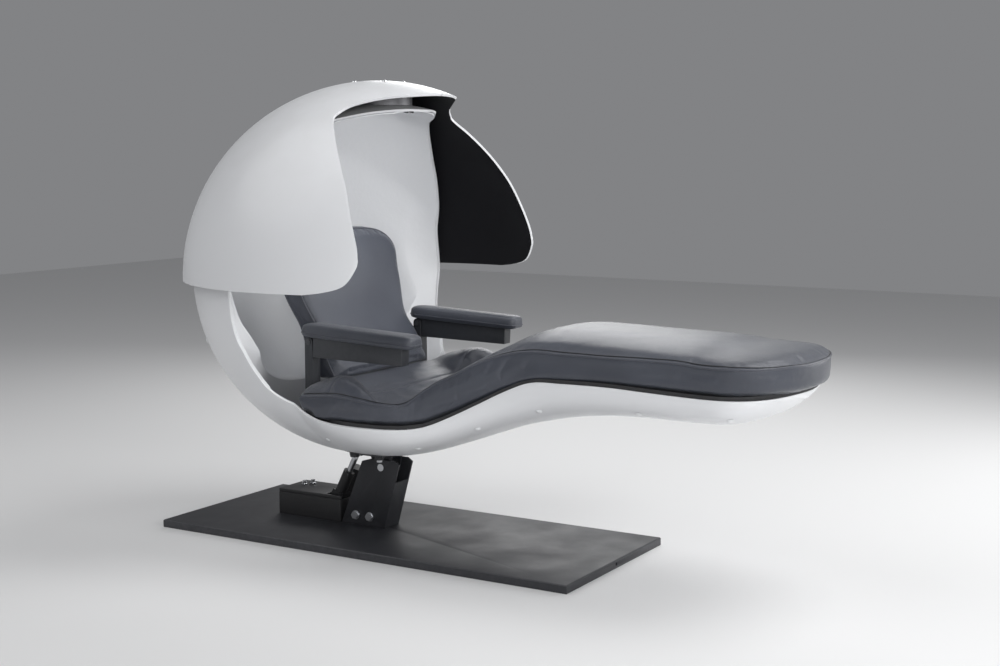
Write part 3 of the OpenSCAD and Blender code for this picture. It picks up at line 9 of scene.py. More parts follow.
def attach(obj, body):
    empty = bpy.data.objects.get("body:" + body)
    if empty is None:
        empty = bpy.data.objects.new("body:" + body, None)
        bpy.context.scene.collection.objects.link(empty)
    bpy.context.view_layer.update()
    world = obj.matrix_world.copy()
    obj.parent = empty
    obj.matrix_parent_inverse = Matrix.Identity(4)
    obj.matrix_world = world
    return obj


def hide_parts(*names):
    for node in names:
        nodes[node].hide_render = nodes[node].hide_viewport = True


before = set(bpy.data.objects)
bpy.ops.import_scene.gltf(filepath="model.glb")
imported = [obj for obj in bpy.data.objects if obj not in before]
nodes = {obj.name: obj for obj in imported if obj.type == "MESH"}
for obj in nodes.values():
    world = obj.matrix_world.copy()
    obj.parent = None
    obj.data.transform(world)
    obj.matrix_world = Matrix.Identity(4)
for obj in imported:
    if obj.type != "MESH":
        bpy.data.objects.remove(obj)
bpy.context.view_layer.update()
scene = bpy.context.scene


def clamp01(t):
    return min(1.0, max(0.0, t))


def smooth(t):
    c = clamp01(t)
    return c * c * (3 - 2 * c)


def mix(a, b, t):
    return a + (b - a) * t


def curveAt(x, table):
    # The height at x of a smooth curve through the table's points, level past its ends
    last = len(table) - 1
    i = max([0] + [k for k in range(last) if x >= table[k][0]])
    a, b, c, d = table[max(i - 1, 0)], table[i], table[i + 1], table[min(i + 2, last)]
    h = c[0] - b[0]
    t = clamp01((x - b[0]) / h)
    slopeB = h * (c[1] - a[1]) / (c[0] - a[0])
    slopeC = h * (d[1] - b[1]) / (d[0] - b[0])
    return (b[1] * (1 + 2 * t) * (1 - t) ** 2 + slopeB * t * (1 - t) ** 2
            + c[1] * t * t * (3 - 2 * t) - slopeC * t * t * (1 - t))


def splinePoint(a, b, c, d, t):
    # A point between b and c on a smooth line through all four
    return (2 * b + (c - a) * t + (2 * a - 5 * b + 4 * c - d) * t * t + (3 * b - 3 * c + d - a) * t ** 3) / 2


def scaled(table, sx, sy):
    return [(x * sx, y * sy) for x, y in table]


def spaced(a, b, count):
    return [a + (b - a) * i / (count - 1) for i in range(count)]


# Sizes are in millimetres from the sphere's centre, and become metres in place().
pod = dict(radius=625.0, wall=8.0, gap=24.0, lift=25.0, canopyDrop=64.0, under=272.5, back=92.0,
           turn=3.0, shellWall=7.0, linerGap=2.8, linerWall=4.0, crease=96.0)
seat = dict(reach=1486.0, legHalf=290.0, seatHalf=458.0, legRise=329.5, levelShare=0.492, boxing=80.0,
            crown=38.0, crownPower=2.4, bucket=50.0, boardT=10.0, boardGap=0.8, boardInset=9.0,
            boardEnd=38.0, gap=0.3, underShare=0.1, endInset=46.0, sideInset=6.0, waist=80.0,
            waistRise=0.3, waistSpread=0.16, footShare=0.13, footPower=2.1, shellFootPower=2.6,
            blendShare=0.3, sectionPower=2.9, bowPower=1.35, bowShare=0.11, rear=-26.0, skew=37.0,
            skewLength=185.0, overhang=4.0, seamRound=9.0, drawIn=5.0, innerSlope=1.1, innerWalls=2.4)
visorInner = pod["radius"] - pod["wall"]
equator = visorInner - pod["gap"]
bowlRadius = math.hypot(equator, pod["lift"])
centre = Vector((-pod["back"], 0, pod["under"] + bowlRadius - pod["lift"]))


def place(p):
    return Vector(((p[0] + centre.x) / 1000, p[1] / 1000, (p[2] + centre.z) / 1000))


# Bowl and trough, by the same rules as the construction.

def shellReach(up):
    lift = pod["lift"]
    drop = pod["canopyDrop"] * up * up if up > 0 else 0
    return lift * up + math.sqrt(bowlRadius ** 2 - lift ** 2 * (1 - up * up)) - drop


# Half angle of the bowl at each turn from the keel backwards, up and over to the canopy
bowlSides = [(0, 52.9), (6, 54.6), (14, 57.6), (20, 61.4), (32, 66.8), (43, 69.5), (55, 72.4),
             (72, 75), (90, 75.8), (110, 74.6), (130, 71.2), (148, 66.2), (160, 58.2), (169, 47),
             (177, 35), (182, 28), (187, 23.4), (191, 18), (194, 13), (198, 2)]
bowlEnd = 198.0


def bowlSide(turn):
    return curveAt(turn, bowlSides)


def bowlDirection(turn, side):
    t, s = math.radians(turn), math.radians(side)
    return Vector((-math.cos(s) * math.sin(t), math.sin(s), -math.cos(s) * math.cos(t)))


def bowlPoint(turn, side, depth=0.0):
    d = bowlDirection(turn, side)
    return d * (shellReach(d.z) - depth)


seatSide = bowlSide(0)
keelDepth = -bowlPoint(0, 0).z
rimStart = bowlPoint(0, seatSide)
shellReachX = seat["reach"] - seat["endInset"]

# Shares of the seat's reach, each with its share of the leg rest's rise
rimShares = [(0.022, 0.6), (0.05, 0.545), (0.068, 0.525), (0.1, 0.507), (0.16, 0.495), (0.229, 0.494),
             (0.269, 0.522), (0.312, 0.604), (0.367, 0.731), (0.431, 0.88), (0.483, 0.968), (0.548, 0.98),
             (0.643, 0.983), (0.735, 0.968), (0.824, 0.956), (0.91, 0.956), (1, 0.967)]
keelShares = [(0.06, 0.025), (0.125, 0.068), (0.19, 0.137), (0.26, 0.242), (0.33, 0.358),
              (0.4, 0.467), (0.47, 0.547), (0.535, 0.608), (0.62, 0.655), (0.7, 0.67),
              (0.79, 0.67), (0.87, 0.69), (0.92, 0.758), (0.95, 0.84), (0.97, 0.905), (1, 0.935)]
widthShares = [(0.08, 0.97), (0.14, 0.9), (0.2, 0.75), (0.26, 0.5), (0.33, 0.26), (0.4, 0.1),
               (0.47, 0.03), (0.55, 0), (1, 0)]


def aboveKeel(shares):
    return [(a * seat["reach"], b * seat["legRise"] - keelDepth) for a, b in shares]


waist = seat["waist"]
rimTable = [(-waist, rimStart.z + waist * seat["waistRise"]), (0, rimStart.z)] + aboveKeel(rimShares)
keelTable = [(-waist, bowlPoint(math.degrees(math.asin(waist / keelDepth)), 0).z), (0, -keelDepth)]
keelTable += aboveKeel(keelShares)
widthTable = [(-waist, rimStart.y + waist * seat["waistSpread"]), (0, rimStart.y)]
widthTable += [(a * seat["reach"], mix(seat["legHalf"], seat["seatHalf"], b)) for a, b in widthShares]


def footFactor(x, reach, power):
    start = reach - seat["footShare"] * seat["reach"]
    t = clamp01((x - start) / (reach - start))
    return max(1 - t ** power, 0) ** (1 / power)


def seatWidth(x, reach, power=seat["footPower"]):
    return curveAt(x, widthTable) * footFactor(x, reach, power)


def blendAt(x):
    # From 0 at the bowl to 1 where the trough has its own section
    return smooth(x / (seat["blendShare"] * seat["reach"]))


def troughPoint(x, s, inward=0.0, reach=shellReachX):
    # s runs from one rim, -1, over the keel to the other, 1
    w = blendAt(x)
    sinSide, cosSide = math.sin(math.radians(seatSide)), math.cos(math.radians(seatSide))
    half = seatWidth(x, reach, seat["shellFootPower"]) - w * seat["sideInset"] - inward * mix(sinSide, 1, w)
    rim = curveAt(x, rimTable) + inward * mix(cosSide, 0, w)
    keel = min(curveAt(x, keelTable) + inward, rim - inward)
    a = abs(s)
    turned = math.radians(a * seatSide)
    bow = smooth((x - shellReachX) / (seat["bowShare"] * seat["reach"]) + 1)
    power = 2 / mix(seat["sectionPower"], seat["bowPower"], bow)
    squareY = math.sin(math.radians(a * 90)) ** power
    squareZ = 1 - max(math.cos(math.radians(a * 90)), 0) ** power
    y = max(half, 0) * mix(math.sin(turned) / sinSide, squareY, w)
    z = mix(keel, rim, mix((1 - math.cos(turned)) / (1 - cosSide), squareZ, w))
    return Vector((x, -y if s < 0 else y, z))


# Mesh helpers

def makeObject(name, mesh):
    piece = bpy.data.objects.new(name, mesh)
    scene.collection.objects.link(piece)
    return piece


def finishMesh(bm, name, weld=0.00015, sharp=35):
    bmesh.ops.remove_doubles(bm, verts=bm.verts, dist=weld)
    bmesh.ops.dissolve_degenerate(bm, edges=bm.edges, dist=weld / 3)
    bmesh.ops.recalc_face_normals(bm, faces=bm.faces)
    mesh = bpy.data.meshes.new(name)
    bm.to_mesh(mesh)
    bm.free()
    mesh.shade_smooth()
    mesh.set_sharp_from_angle(angle=math.radians(sharp))
    return makeObject(name, mesh)


def addGrid(bm, rows, material=0):
    grid = [[bm.verts.new(place(p)) for p in row] for row in rows]
    for a, b in zip(grid, grid[1:]):
        for i in range(len(a) - 1):
            bm.faces.new((a[i], a[i + 1], b[i + 1], b[i])).material_index = material
    return grid


def addStrip(bm, first, second):
    for i in range(len(first) - 1):
        bm.faces.new((first[i], first[i + 1], second[i + 1], second[i]))


def applyModifiers(piece):
    graph = bpy.context.evaluated_depsgraph_get()
    mesh = bpy.data.meshes.new_from_object(piece.evaluated_get(graph))
    old = piece.data
    piece.modifiers.clear()
    piece.data = mesh
    bpy.data.meshes.remove(old)


def bevelEdges(piece, width, angle=40, segments=3, sharp=50):
    bevel = piece.modifiers.new("edge", "BEVEL")
    bevel.width = width
    bevel.segments = segments
    bevel.limit_method = "ANGLE"
    bevel.angle_limit = math.radians(angle)
    bevel.harden_normals = False
    applyModifiers(piece)
    piece.data.shade_smooth()
    piece.data.set_sharp_from_angle(angle=math.radians(sharp))


def closedLoft(name, loops):
    bm = bmesh.new()
    rings = [[bm.verts.new(place(p)) for p in loop] for loop in loops]
    count = len(rings[0])
    for a, b in zip(rings, rings[1:]):
        for i in range(count):
            j = (i + 1) % count
            bm.faces.new((a[i], a[j], b[j], b[i]))
    for ring in (rings[0], rings[-1]):
        bm.faces.new(ring)
    return finishMesh(bm, name, sharp=60)


def tube(name, points, radius, closed=False):
    curve = bpy.data.curves.new(name, "CURVE")
    curve.dimensions = "3D"
    curve.bevel_depth = radius
    curve.bevel_resolution = 3
    spline = curve.splines.new("POLY")
    spline.points.add(len(points) - 1)
    for dot, p in zip(spline.points, points):
        dot.co = (p[0], p[1], p[2], 1)
    spline.use_cyclic_u = closed
    curve.use_fill_caps = not closed
    holder = makeObject(name + "Curve", curve)
    graph = bpy.context.evaluated_depsgraph_get()
    mesh = bpy.data.meshes.new_from_object(holder.evaluated_get(graph))
    bpy.data.objects.remove(holder)
    mesh.name = name
    mesh.shade_smooth()
    return makeObject(name, mesh)


# Materials

def group(name, inputs, outputs):
    tree = bpy.data.node_groups.new(name, "ShaderNodeTree")
    kind = "NodeSocketFloat"
    for label, value in inputs:
        tree.interface.new_socket(label, in_out="INPUT", socket_type=kind).default_value = value
    for label in outputs:
        tree.interface.new_socket(label, in_out="OUTPUT", socket_type=kind)
    return tree, tree.nodes.new("NodeGroupInput").outputs, tree.nodes.new("NodeGroupOutput").inputs


def addNode(tree, kind, links=(), **values):
    node = tree.nodes.new(kind)
    for key, value in values.items():
        if key.startswith("in_"):
            node.inputs[key[3:]].default_value = value
        else:
            setattr(node, key, value)
    for socket, source in links:
        tree.links.new(source, node.inputs[socket])
    return node


def objectCoords(tree):
    return addNode(tree, "ShaderNodeTexCoord").outputs["Object"]


def noiseOver(tree, vector, scale, detail, **values):
    # scale is a number, or the socket that gives it
    links = [("Vector", vector)]
    if isinstance(scale, float):
        values["in_Scale"] = scale
    else:
        links.append(("Scale", scale))
    return addNode(tree, "ShaderNodeTexNoise", links, in_Detail=detail, **values)


def maths(tree, operation, a, b=None, clamp=False):
    node = tree.nodes.new("ShaderNodeMath")
    node.operation = operation
    node.use_clamp = clamp
    for socket, value in zip(node.inputs, (a, b)):
        if value is None:
            continue
        if isinstance(value, (int, float)):
            socket.default_value = value
        else:
            tree.links.new(value, socket)
    return node.outputs[0]


def spread(tree, value, low, high, outLow=0.0, outHigh=1.0):
    node = addNode(tree, "ShaderNodeMapRange", clamp=True)
    tree.links.new(value, node.inputs["Value"])
    for label, number in (("From Min", low), ("From Max", high), ("To Min", outLow), ("To Max", outHigh)):
        node.inputs[label].default_value = number
    return node.outputs["Result"]


def buildLeatherGrain(warpScale=60.0, warpShare=0.006, domeWidth=0.16, domeShare=0.8, fineScale=900.0,
                      fineShare=0.2, creaseScale=26.0, creaseBend=1.6, creaseWidth=0.03, cloudScale=5.0):
    # Small rounded cells with fine creases, and a soft change of tone
    tree, given, out = group("leatherGrain", [("Cell", 420.0), ("Crease", 0.5)], ["Height", "Tone"])
    where = objectCoords(tree)
    warp = noiseOver(tree, where, warpScale, 2.0)
    bent = addNode(tree, "ShaderNodeMixRGB", [("Color1", where), ("Color2", warp.outputs["Color"])],
                   in_Fac=warpShare)
    cells = addNode(tree, "ShaderNodeTexVoronoi", [("Vector", bent.outputs[0]), ("Scale", given["Cell"])],
                    feature="DISTANCE_TO_EDGE")
    domes = spread(tree, cells.outputs["Distance"], 0.0, domeWidth)
    fine = noiseOver(tree, where, fineScale, 3.0)
    creases = noiseOver(tree, where, creaseScale, 5.0, in_Distortion=creaseBend)
    line = maths(tree, "ABSOLUTE", maths(tree, "SUBTRACT", creases.outputs["Fac"], 0.5))
    dip = maths(tree, "MULTIPLY", spread(tree, line, 0.0, creaseWidth, -1.0, 0.0), given["Crease"])
    pores = maths(tree, "MULTIPLY", fine.outputs["Fac"], fineShare)
    height = maths(tree, "ADD", maths(tree, "MULTIPLY", domes, domeShare), maths(tree, "ADD", pores, dip))
    cloud = noiseOver(tree, where, cloudScale, 4.0)
    tree.links.new(height, out["Height"])
    tree.links.new(cloud.outputs["Fac"], out["Tone"])
    return tree


def buildMoulded(poreShare=0.06, dustScale=14.0, dustSlope=0.2, dustFrom=0.35, dustTo=0.75):
    # Very soft ripple of the gel coat, fine specks, and settled dust on what faces up
    tree, given, out = group("moulded", [("Ripple", 9.0), ("Fine", 500.0)], ["Height", "Speck", "Dust"])
    where = objectCoords(tree)
    ripple = noiseOver(tree, where, given["Ripple"], 2.0)
    pores = noiseOver(tree, where, given["Fine"], 3.0)
    geometry = addNode(tree, "ShaderNodeNewGeometry")
    split = addNode(tree, "ShaderNodeSeparateXYZ", [("Vector", geometry.outputs["Normal"])])
    drift = noiseOver(tree, where, dustScale, 6.0)
    upward = spread(tree, split.outputs["Z"], dustSlope, 1.0)
    patches = spread(tree, drift.outputs["Fac"], dustFrom, dustTo)
    fine = maths(tree, "MULTIPLY", pores.outputs["Fac"], poreShare)
    tree.links.new(maths(tree, "ADD", ripple.outputs["Fac"], fine), out["Height"])
    tree.links.new(pores.outputs["Fac"], out["Speck"])
    tree.links.new(maths(tree, "MULTIPLY", upward, patches), out["Dust"])
    return tree


def buildEdgeWear(patchScale=80.0, edgeFrom=0.515, edgeTo=0.6):
    # A mask along convex edges, broken up by noise
    tree, given, out = group("edgeWear", [("Amount", 0.5)], ["Mask"])
    geometry = addNode(tree, "ShaderNodeNewGeometry")
    patches = noiseOver(tree, objectCoords(tree), patchScale, 4.0)
    edge = spread(tree, geometry.outputs["Pointiness"], edgeFrom, edgeTo)
    broken = maths(tree, "MULTIPLY", edge, patches.outputs["Fac"])
    tree.links.new(maths(tree, "MULTIPLY", broken, given["Amount"], clamp=True), out["Mask"])
    return tree


def buildPowder(stainScale=6.0):
    # Fine orange peel of a powder coat
    tree, given, out = group("powder", [("Scale", 700.0)], ["Height", "Tone"])
    where = objectCoords(tree)
    peel = noiseOver(tree, where, given["Scale"], 2.0)
    stain = noiseOver(tree, where, stainScale, 5.0)
    tree.links.new(peel.outputs["Fac"], out["Height"])
    tree.links.new(stain.outputs["Fac"], out["Tone"])
    return tree


def buildBrushed(along=30.0, across=900.0):
    # Streaks of brushed metal along one direction
    tree, given, out = group("brushed", [("Fine", 1.0)], ["Height"])
    stretch = addNode(tree, "ShaderNodeMapping", [("Vector", objectCoords(tree))])
    stretch.inputs["Scale"].default_value = (along, across, across)
    streak = noiseOver(tree, stretch.outputs["Vector"], 1.0, 3.0)
    tree.links.new(maths(tree, "MULTIPLY", streak.outputs["Fac"], given["Fine"]), out["Height"])
    return tree


leatherGrain = buildLeatherGrain()
moulded = buildMoulded()
edgeWear = buildEdgeWear()
powder = buildPowder()
brushed = buildBrushed()


def newMaterial(name, settings):
    material = bpy.data.materials.new(name)
    material.use_nodes = True
    tree = material.node_tree
    shader = tree.nodes["Principled BSDF"]
    for label, value in settings.items():
        shader.inputs[label].default_value = value
    return material, tree, shader


def groupNode(tree, source, **values):
    node = tree.nodes.new("ShaderNodeGroup")
    node.node_tree = source
    for key, value in values.items():
        node.inputs[key].default_value = value
    return node


def bump(tree, shader, height, strength, distance):
    node = addNode(tree, "ShaderNodeBump", [("Height", height)], in_Strength=strength, in_Distance=distance)
    tree.links.new(node.outputs["Normal"], shader.inputs["Normal"])


def tint(tree, shader, factor, first, second):
    node = addNode(tree, "ShaderNodeMix", data_type="RGBA")
    node.inputs[6].default_value = (*first, 1)
    node.inputs[7].default_value = (*second, 1)
    tree.links.new(factor, node.inputs[0])
    tree.links.new(node.outputs[2], shader.inputs["Base Color"])


def roughen(tree, shader, value, low, high, roughLow, roughHigh):
    tree.links.new(spread(tree, value, low, high, roughLow, roughHigh), shader.inputs["Roughness"])


def leather(name, color, lighter, rough=(0.34, 0.47), cell=420.0, depth=0.0007):
    material, tree, shader = newMaterial(name, {"Sheen Weight": 0.12, "Sheen Roughness": 0.4,
                                                "Coat Weight": 0.2, "Coat Roughness": 0.34})
    grain = groupNode(tree, leatherGrain, Cell=cell, Crease=0.35)
    tint(tree, shader, spread(tree, grain.outputs["Tone"], 0.35, 0.7), color, lighter)
    roughen(tree, shader, grain.outputs["Height"], 0.1, 1.0, rough[1], rough[0])
    bump(tree, shader, grain.outputs["Height"], 0.35, depth)
    return material


def gelCoat(name, color, dusty, rough=0.36, coat=0.3, ripple=9.0, fine=500.0, strength=0.08, distance=0.002,
            specular=0.5):
    material, tree, shader = newMaterial(name, {"Coat Weight": coat, "Coat Roughness": 0.26,
                                                "Specular IOR Level": specular})
    skin = groupNode(tree, moulded, Ripple=ripple, Fine=fine)
    tint(tree, shader, spread(tree, skin.outputs["Dust"], 0.0, 1.0, 0.0, 0.5), color, dusty)
    roughen(tree, shader, skin.outputs["Speck"], 0.3, 0.7, rough - 0.03, rough + 0.05)
    bump(tree, shader, skin.outputs["Height"], strength, distance)
    return material


def paint(name, color, edgeColor, rough=(0.4, 0.55), scale=700.0, depth=0.0004):
    material, tree, shader = newMaterial(name, {"Metallic": 0.0})
    coat = groupNode(tree, powder, Scale=scale)
    wear = groupNode(tree, edgeWear, Amount=0.7)
    tint(tree, shader, wear.outputs["Mask"], color, edgeColor)
    roughen(tree, shader, coat.outputs["Tone"], 0.3, 0.7, rough[0], rough[1])
    bump(tree, shader, coat.outputs["Height"], 0.25, depth)
    return material


def metal(name, color, rough, fine=1.0, strength=0.2):
    material, tree, shader = newMaterial(name, {"Metallic": 1.0, "Base Color": (*color, 1)})
    streaks = groupNode(tree, brushed, Fine=fine)
    roughen(tree, shader, streaks.outputs["Height"], 0.2, 0.8, rough - 0.06, rough + 0.08)
    bump(tree, shader, streaks.outputs["Height"], strength, 0.0004)
    return material


finishes = {
    "shell": gelCoat("whiteShell", (0.80, 0.81, 0.83), (0.72, 0.725, 0.73)),
    "visorInside": gelCoat("visorInside", (0.007, 0.007, 0.009), (0.012, 0.012, 0.014),
                           rough=0.6, coat=0.0, specular=0.2),
    "liner": gelCoat("linerWhite", (0.80, 0.81, 0.83), (0.76, 0.765, 0.775),
                     rough=0.42, coat=0.1, ripple=60.0, fine=900.0, strength=0.3),
    "leather": leather("seatLeather", (0.045, 0.05, 0.066), (0.06, 0.067, 0.087)),
    # The backrest's and arm pads' leather is the seat's leather made lighter, which paints light on the
    # backrest and pads
    "backLeatherPaintedLight": leather("backLeatherPaintedLight", (0.053, 0.059, 0.078), (0.069, 0.077, 0.099)),
    "padLeatherPaintedLight": leather("padLeatherPaintedLight", (0.06, 0.066, 0.083), (0.078, 0.085, 0.104), cell=520.0),
    "piping": leather("pipingLeather", (0.05, 0.055, 0.072), (0.066, 0.072, 0.092),
                      cell=800.0, depth=0.0003),
    "seamThread": paint("seamThread", (0.012, 0.013, 0.016), (0.03, 0.03, 0.035), rough=(0.6, 0.75)),
    "armPaint": paint("armPaint", (0.034, 0.037, 0.043), (0.12, 0.12, 0.13), rough=(0.38, 0.5)),
    "basePaint": paint("basePaint", (0.019, 0.02, 0.024), (0.09, 0.09, 0.1), rough=(0.42, 0.58)),
    "blackBox": paint("blackBox", (0.018, 0.018, 0.02), (0.05, 0.05, 0.05),
                      rough=(0.45, 0.6), scale=1200.0),
    "steel": metal("brushedSteel", (0.55, 0.56, 0.58), 0.34),
    "bright": metal("brightMetal", (0.78, 0.79, 0.81), 0.16, fine=0.6, strength=0.08),
    "bronze": metal("bronze", (0.55, 0.42, 0.22), 0.3),
    "machined": metal("dullAluminium", (0.2, 0.2, 0.21), 0.5, strength=0.1),
    "board": paint("darkBoard", (0.022, 0.022, 0.025), (0.04, 0.04, 0.04), rough=(0.6, 0.75), scale=400.0),
    "slip": gelCoat("slipPlastic", (0.8, 0.8, 0.78), (0.7, 0.7, 0.68), rough=0.4, coat=0.0),
}
print("materials made", len(finishes))


def dress(piece, *keys):
    while piece.data.materials:
        piece.data.materials.pop()
    for key in keys:
        piece.data.materials.append(finishes[key])


nodeFinish = {
    "basePaint": ("base_plate", "foot_bracket", "column", "actuator_lug", "cradle", "seat_frame",
                  "back_frame"),
    "armPaint": ("arm_post_left", "arm_post_right", "arm_beam_left", "arm_beam_right", "arm_pin_left",
                 "arm_pin_right"),
    "steel": ("plate_screws", "foot_bolts", "tilt_axle", "axle_collars", "actuator_lower_pin",
              "actuator_upper_pin", "cradle_bolts", "turntable_screws", "visor_spindle", "actuator_rod"),
    "bright": ("box_connectors", "visor_screws"),
    "blackBox": ("control_box", "control_box_lid", "actuator_housing", "actuator_motor", "canopy_lamps"),
    "bronze": ("tilt_bushes",),
    "shell": ("shell_screws", "seat_shell", "visor_shell"),
    "liner": ("liner",),
    "board": ("seat_board", "back_board"),
    "machined": ("turntable_base", "turntable_ring"),
    "slip": ("slip_washer",),
}
for key, names in nodeFinish.items():
    for name in names:
        for slot in nodes[name].material_slots:
            slot.link = "OBJECT"
            slot.material = finishes[key]


# Shell: the bowl that runs forward as a trough, with a rounded rim

shellSettings = dict(columns=44, footRows=46, troughRows=110, bowlRows=120, rimBevel=0.0022)


def shellRows(inward):
    half = shellSettings["columns"]
    sides = [i / half for i in range(-half, half + 1)]
    footStart = shellReachX - seat["footShare"] * seat["reach"]
    reach = shellReachX - inward
    rows = []
    for angle in spaced(90, 0, shellSettings["footRows"]):
        x = footStart + (shellReachX - footStart) * math.sin(math.radians(angle))
        pull = inward * clamp01((x - footStart) / (shellReachX - footStart))
        rows.append([troughPoint(x - pull, s, inward, reach) for s in sides])
    for x in spaced(footStart, 0, shellSettings["troughRows"])[1:-1]:
        rows.append([troughPoint(x, s, inward, reach) for s in sides])
    for turn in spaced(0, bowlEnd, shellSettings["bowlRows"]):
        rows.append([bowlPoint(turn, s * bowlSide(turn), inward) for s in sides])
    return rows


def thickSheet(name, outer, inner, openFront=False):
    bm = bmesh.new()
    a = addGrid(bm, outer)
    b = addGrid(bm, inner)
    for side in (0, -1):
        addStrip(bm, [row[side] for row in a], [row[side] for row in b])
    addStrip(bm, a[-1], b[-1])
    if openFront:
        addStrip(bm, a[0], b[0])
    return finishMesh(bm, name)


shell = thickSheet("shell", shellRows(0), shellRows(pod["shellWall"]))
bevelEdges(shell, shellSettings["rimBevel"])
dress(shell, "shell")
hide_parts("seat_shell")
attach(shell, "pod")
print("shell", len(shell.data.polygons))

# Liner: the raised panel inside a crease, with a sloping border out to the shell's edge

linerSettings = dict(turnStep=1.5, sideColumns=12, panelColumns=26, creaseShare=0.7, creaseSoft=0.05,
                     edgeAngle=0.6, firstTurn=14.0, lastTurn=194.5, rimBevel=0.0012)
creaseSides = [(14, 0.7), (33, 0.71), (41, 0.77), (49, 0.86), (60, 0.91), (85, 0.87), (110, 0.84),
               (140, 0.84), (195, 0.84)]
creaseRises = [(14, 0), (31, 0), (33, 0.03), (41, 0.95), (43, 0.97), (48, 0.85), (60, 0.55), (85, 0.56),
               (110, 0.42), (128, 0.18), (142, 0), (195, 0)]


def creaseFall(over, soft):
    # From 0 on the panel to 1 at the edge, with a soft start round the crease
    if over < -soft:
        return 0
    if over > 1:
        return 1
    return over if over > soft else (over + soft) ** 2 / (4 * soft)


def linerRows(depth):
    share = linerSettings["creaseShare"]
    border = linerSettings["sideColumns"]
    side = [mix(share, 1, i / border) for i in range(1, border + 1)]
    panel = spaced(-share, share, 2 * linerSettings["panelColumns"] + 1)
    columns = [-v for v in reversed(side)] + panel + side
    rows = []
    steps = int((linerSettings["lastTurn"] - linerSettings["firstTurn"]) / linerSettings["turnStep"])
    for turn in spaced(linerSettings["firstTurn"], linerSettings["lastTurn"], steps + 1):
        edge = bowlSide(turn) - linerSettings["edgeAngle"]
        crease = curveAt(turn, creaseSides)
        rise = pod["crease"] * max(curveAt(turn, creaseRises), 0)
        row = []
        for column in columns:
            u = abs(column)
            over = (u - share) / (1 - share)
            at = crease * u / share if u < share else mix(crease, 1, over)
            fall = 1 - creaseFall(over, linerSettings["creaseSoft"])
            row.append(bowlPoint(turn, (-1 if column < 0 else 1) * edge * at, depth + rise * clamp01(fall)))
        rows.append(row)
    return rows


linerDepth = pod["shellWall"] + pod["linerGap"]
linerBack = linerDepth + pod["linerWall"]
liner = thickSheet("linerPanel", linerRows(linerDepth), linerRows(linerBack), openFront=True)
bevelEdges(liner, linerSettings["rimBevel"])
dress(liner, "liner")
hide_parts("liner")
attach(liner, "pod")
print("liner", len(liner.data.polygons))

# Visor: a spherical cap with its curved side opening, white outside and black inside

visorSettings = dict(columns=220, curveSteps=9, capRows=26, bottomBevel=0.0024)

# The opening's edge from the side, forward and up from the centre, as shares of the visor's radius
openingShares = [(0.192, 0), (0.278, 0.011), (0.358, 0.032), (0.398, 0.064), (0.427, 0.118),
                 (0.434, 0.149), (0.432, 0.171), (0.421, 0.229), (0.382, 0.341), (0.33, 0.474),
                 (0.253, 0.608), (0.173, 0.723), (0.112, 0.803), (0.115, 0.834), (0.143, 0.866),
                 (0.2, 0.891), (0.25, 0.906), (0.29, 0.914), (0.33, 0.92), (0.37, 0.929)]


def openingLine(steps):
    points = [np.array(p) * pod["radius"] for p in openingShares]
    last = len(points) - 1
    line = []
    for i in range(last):
        a, b, c, d = points[max(i - 1, 0)], points[i], points[i + 1], points[min(i + 2, last)]
        line += [splinePoint(a, b, c, d, j / steps) for j in range(steps)]
    return line + [points[-1]]


def visorRows(radius):
    # The rows from the bottom edge to the pole, and how many of them the opening cuts
    outer = pod["radius"]
    columns = visorSettings["columns"]
    turned = Matrix.Rotation(math.radians(pod["turn"]), 3, "Z")
    heights = []
    for x, z in openingLine(visorSettings["curveSteps"]):
        level = math.sqrt(max(outer ** 2 - z * z, 0))
        heights.append((z, math.acos(min(x / level, 1.0)) if x < level else 0.0))
    cutRows = sum(1 for h in heights if h[1] > 0)
    start = math.asin(heights[-1][0] / outer)
    for i in range(1, visorSettings["capRows"] + 1):
        heights.append((outer * math.sin(mix(start, math.pi / 2, i / visorSettings["capRows"])), 0.0))
    rows = []
    for z, edge in heights:
        up = z / outer
        level = math.sqrt(max(1 - up * up, 0))
        row = []
        for j in range(columns + 1):
            azimuth = mix(edge, 2 * math.pi - edge, j / columns)
            row.append(turned @ Vector((level * math.cos(azimuth), level * math.sin(azimuth), up)) * radius)
        rows.append(row)
    return rows, cutRows


def makeVisor():
    outerRows, cutRows = visorRows(pod["radius"])
    innerRows, _ = visorRows(visorInner)
    bm = bmesh.new()
    outer = addGrid(bm, outerRows)
    inner = addGrid(bm, innerRows, 1)
    addStrip(bm, outer[0], inner[0])
    for side in (0, -1):
        addStrip(bm, [row[side] for row in outer[:cutRows + 1]], [row[side] for row in inner[:cutRows + 1]])
    return finishMesh(bm, "visor")


visor = makeVisor()
dress(visor, "shell", "visorInside")
bevelEdges(visor, visorSettings["bottomBevel"])
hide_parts("visor_shell")
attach(visor, "visor")
print("visor", len(visor.data.polygons))


# Hard pieces: the frame's own shapes with eased edges

easedSettings = dict(weld=0.00002, flat=2, angle=30)
easedPieces = {
    ("arm_left", "arm_paint", "armPaint"): {"arm_beam_left": 0.0022},
    ("arm_right", "arm_paint", "armPaint"): {"arm_beam_right": 0.0022},
    ("pod", "arm_paint", "armPaint"): {"arm_post_left": 0.0022, "arm_post_right": 0.0022},
    ("base", "base_paint", "basePaint"): {"base_plate": 0.0009, "column": 0.0018, "foot_bracket": 0.0012},
    ("base", "black_box", "blackBox"): {"control_box": 0.002, "control_box_lid": 0.0026},
}


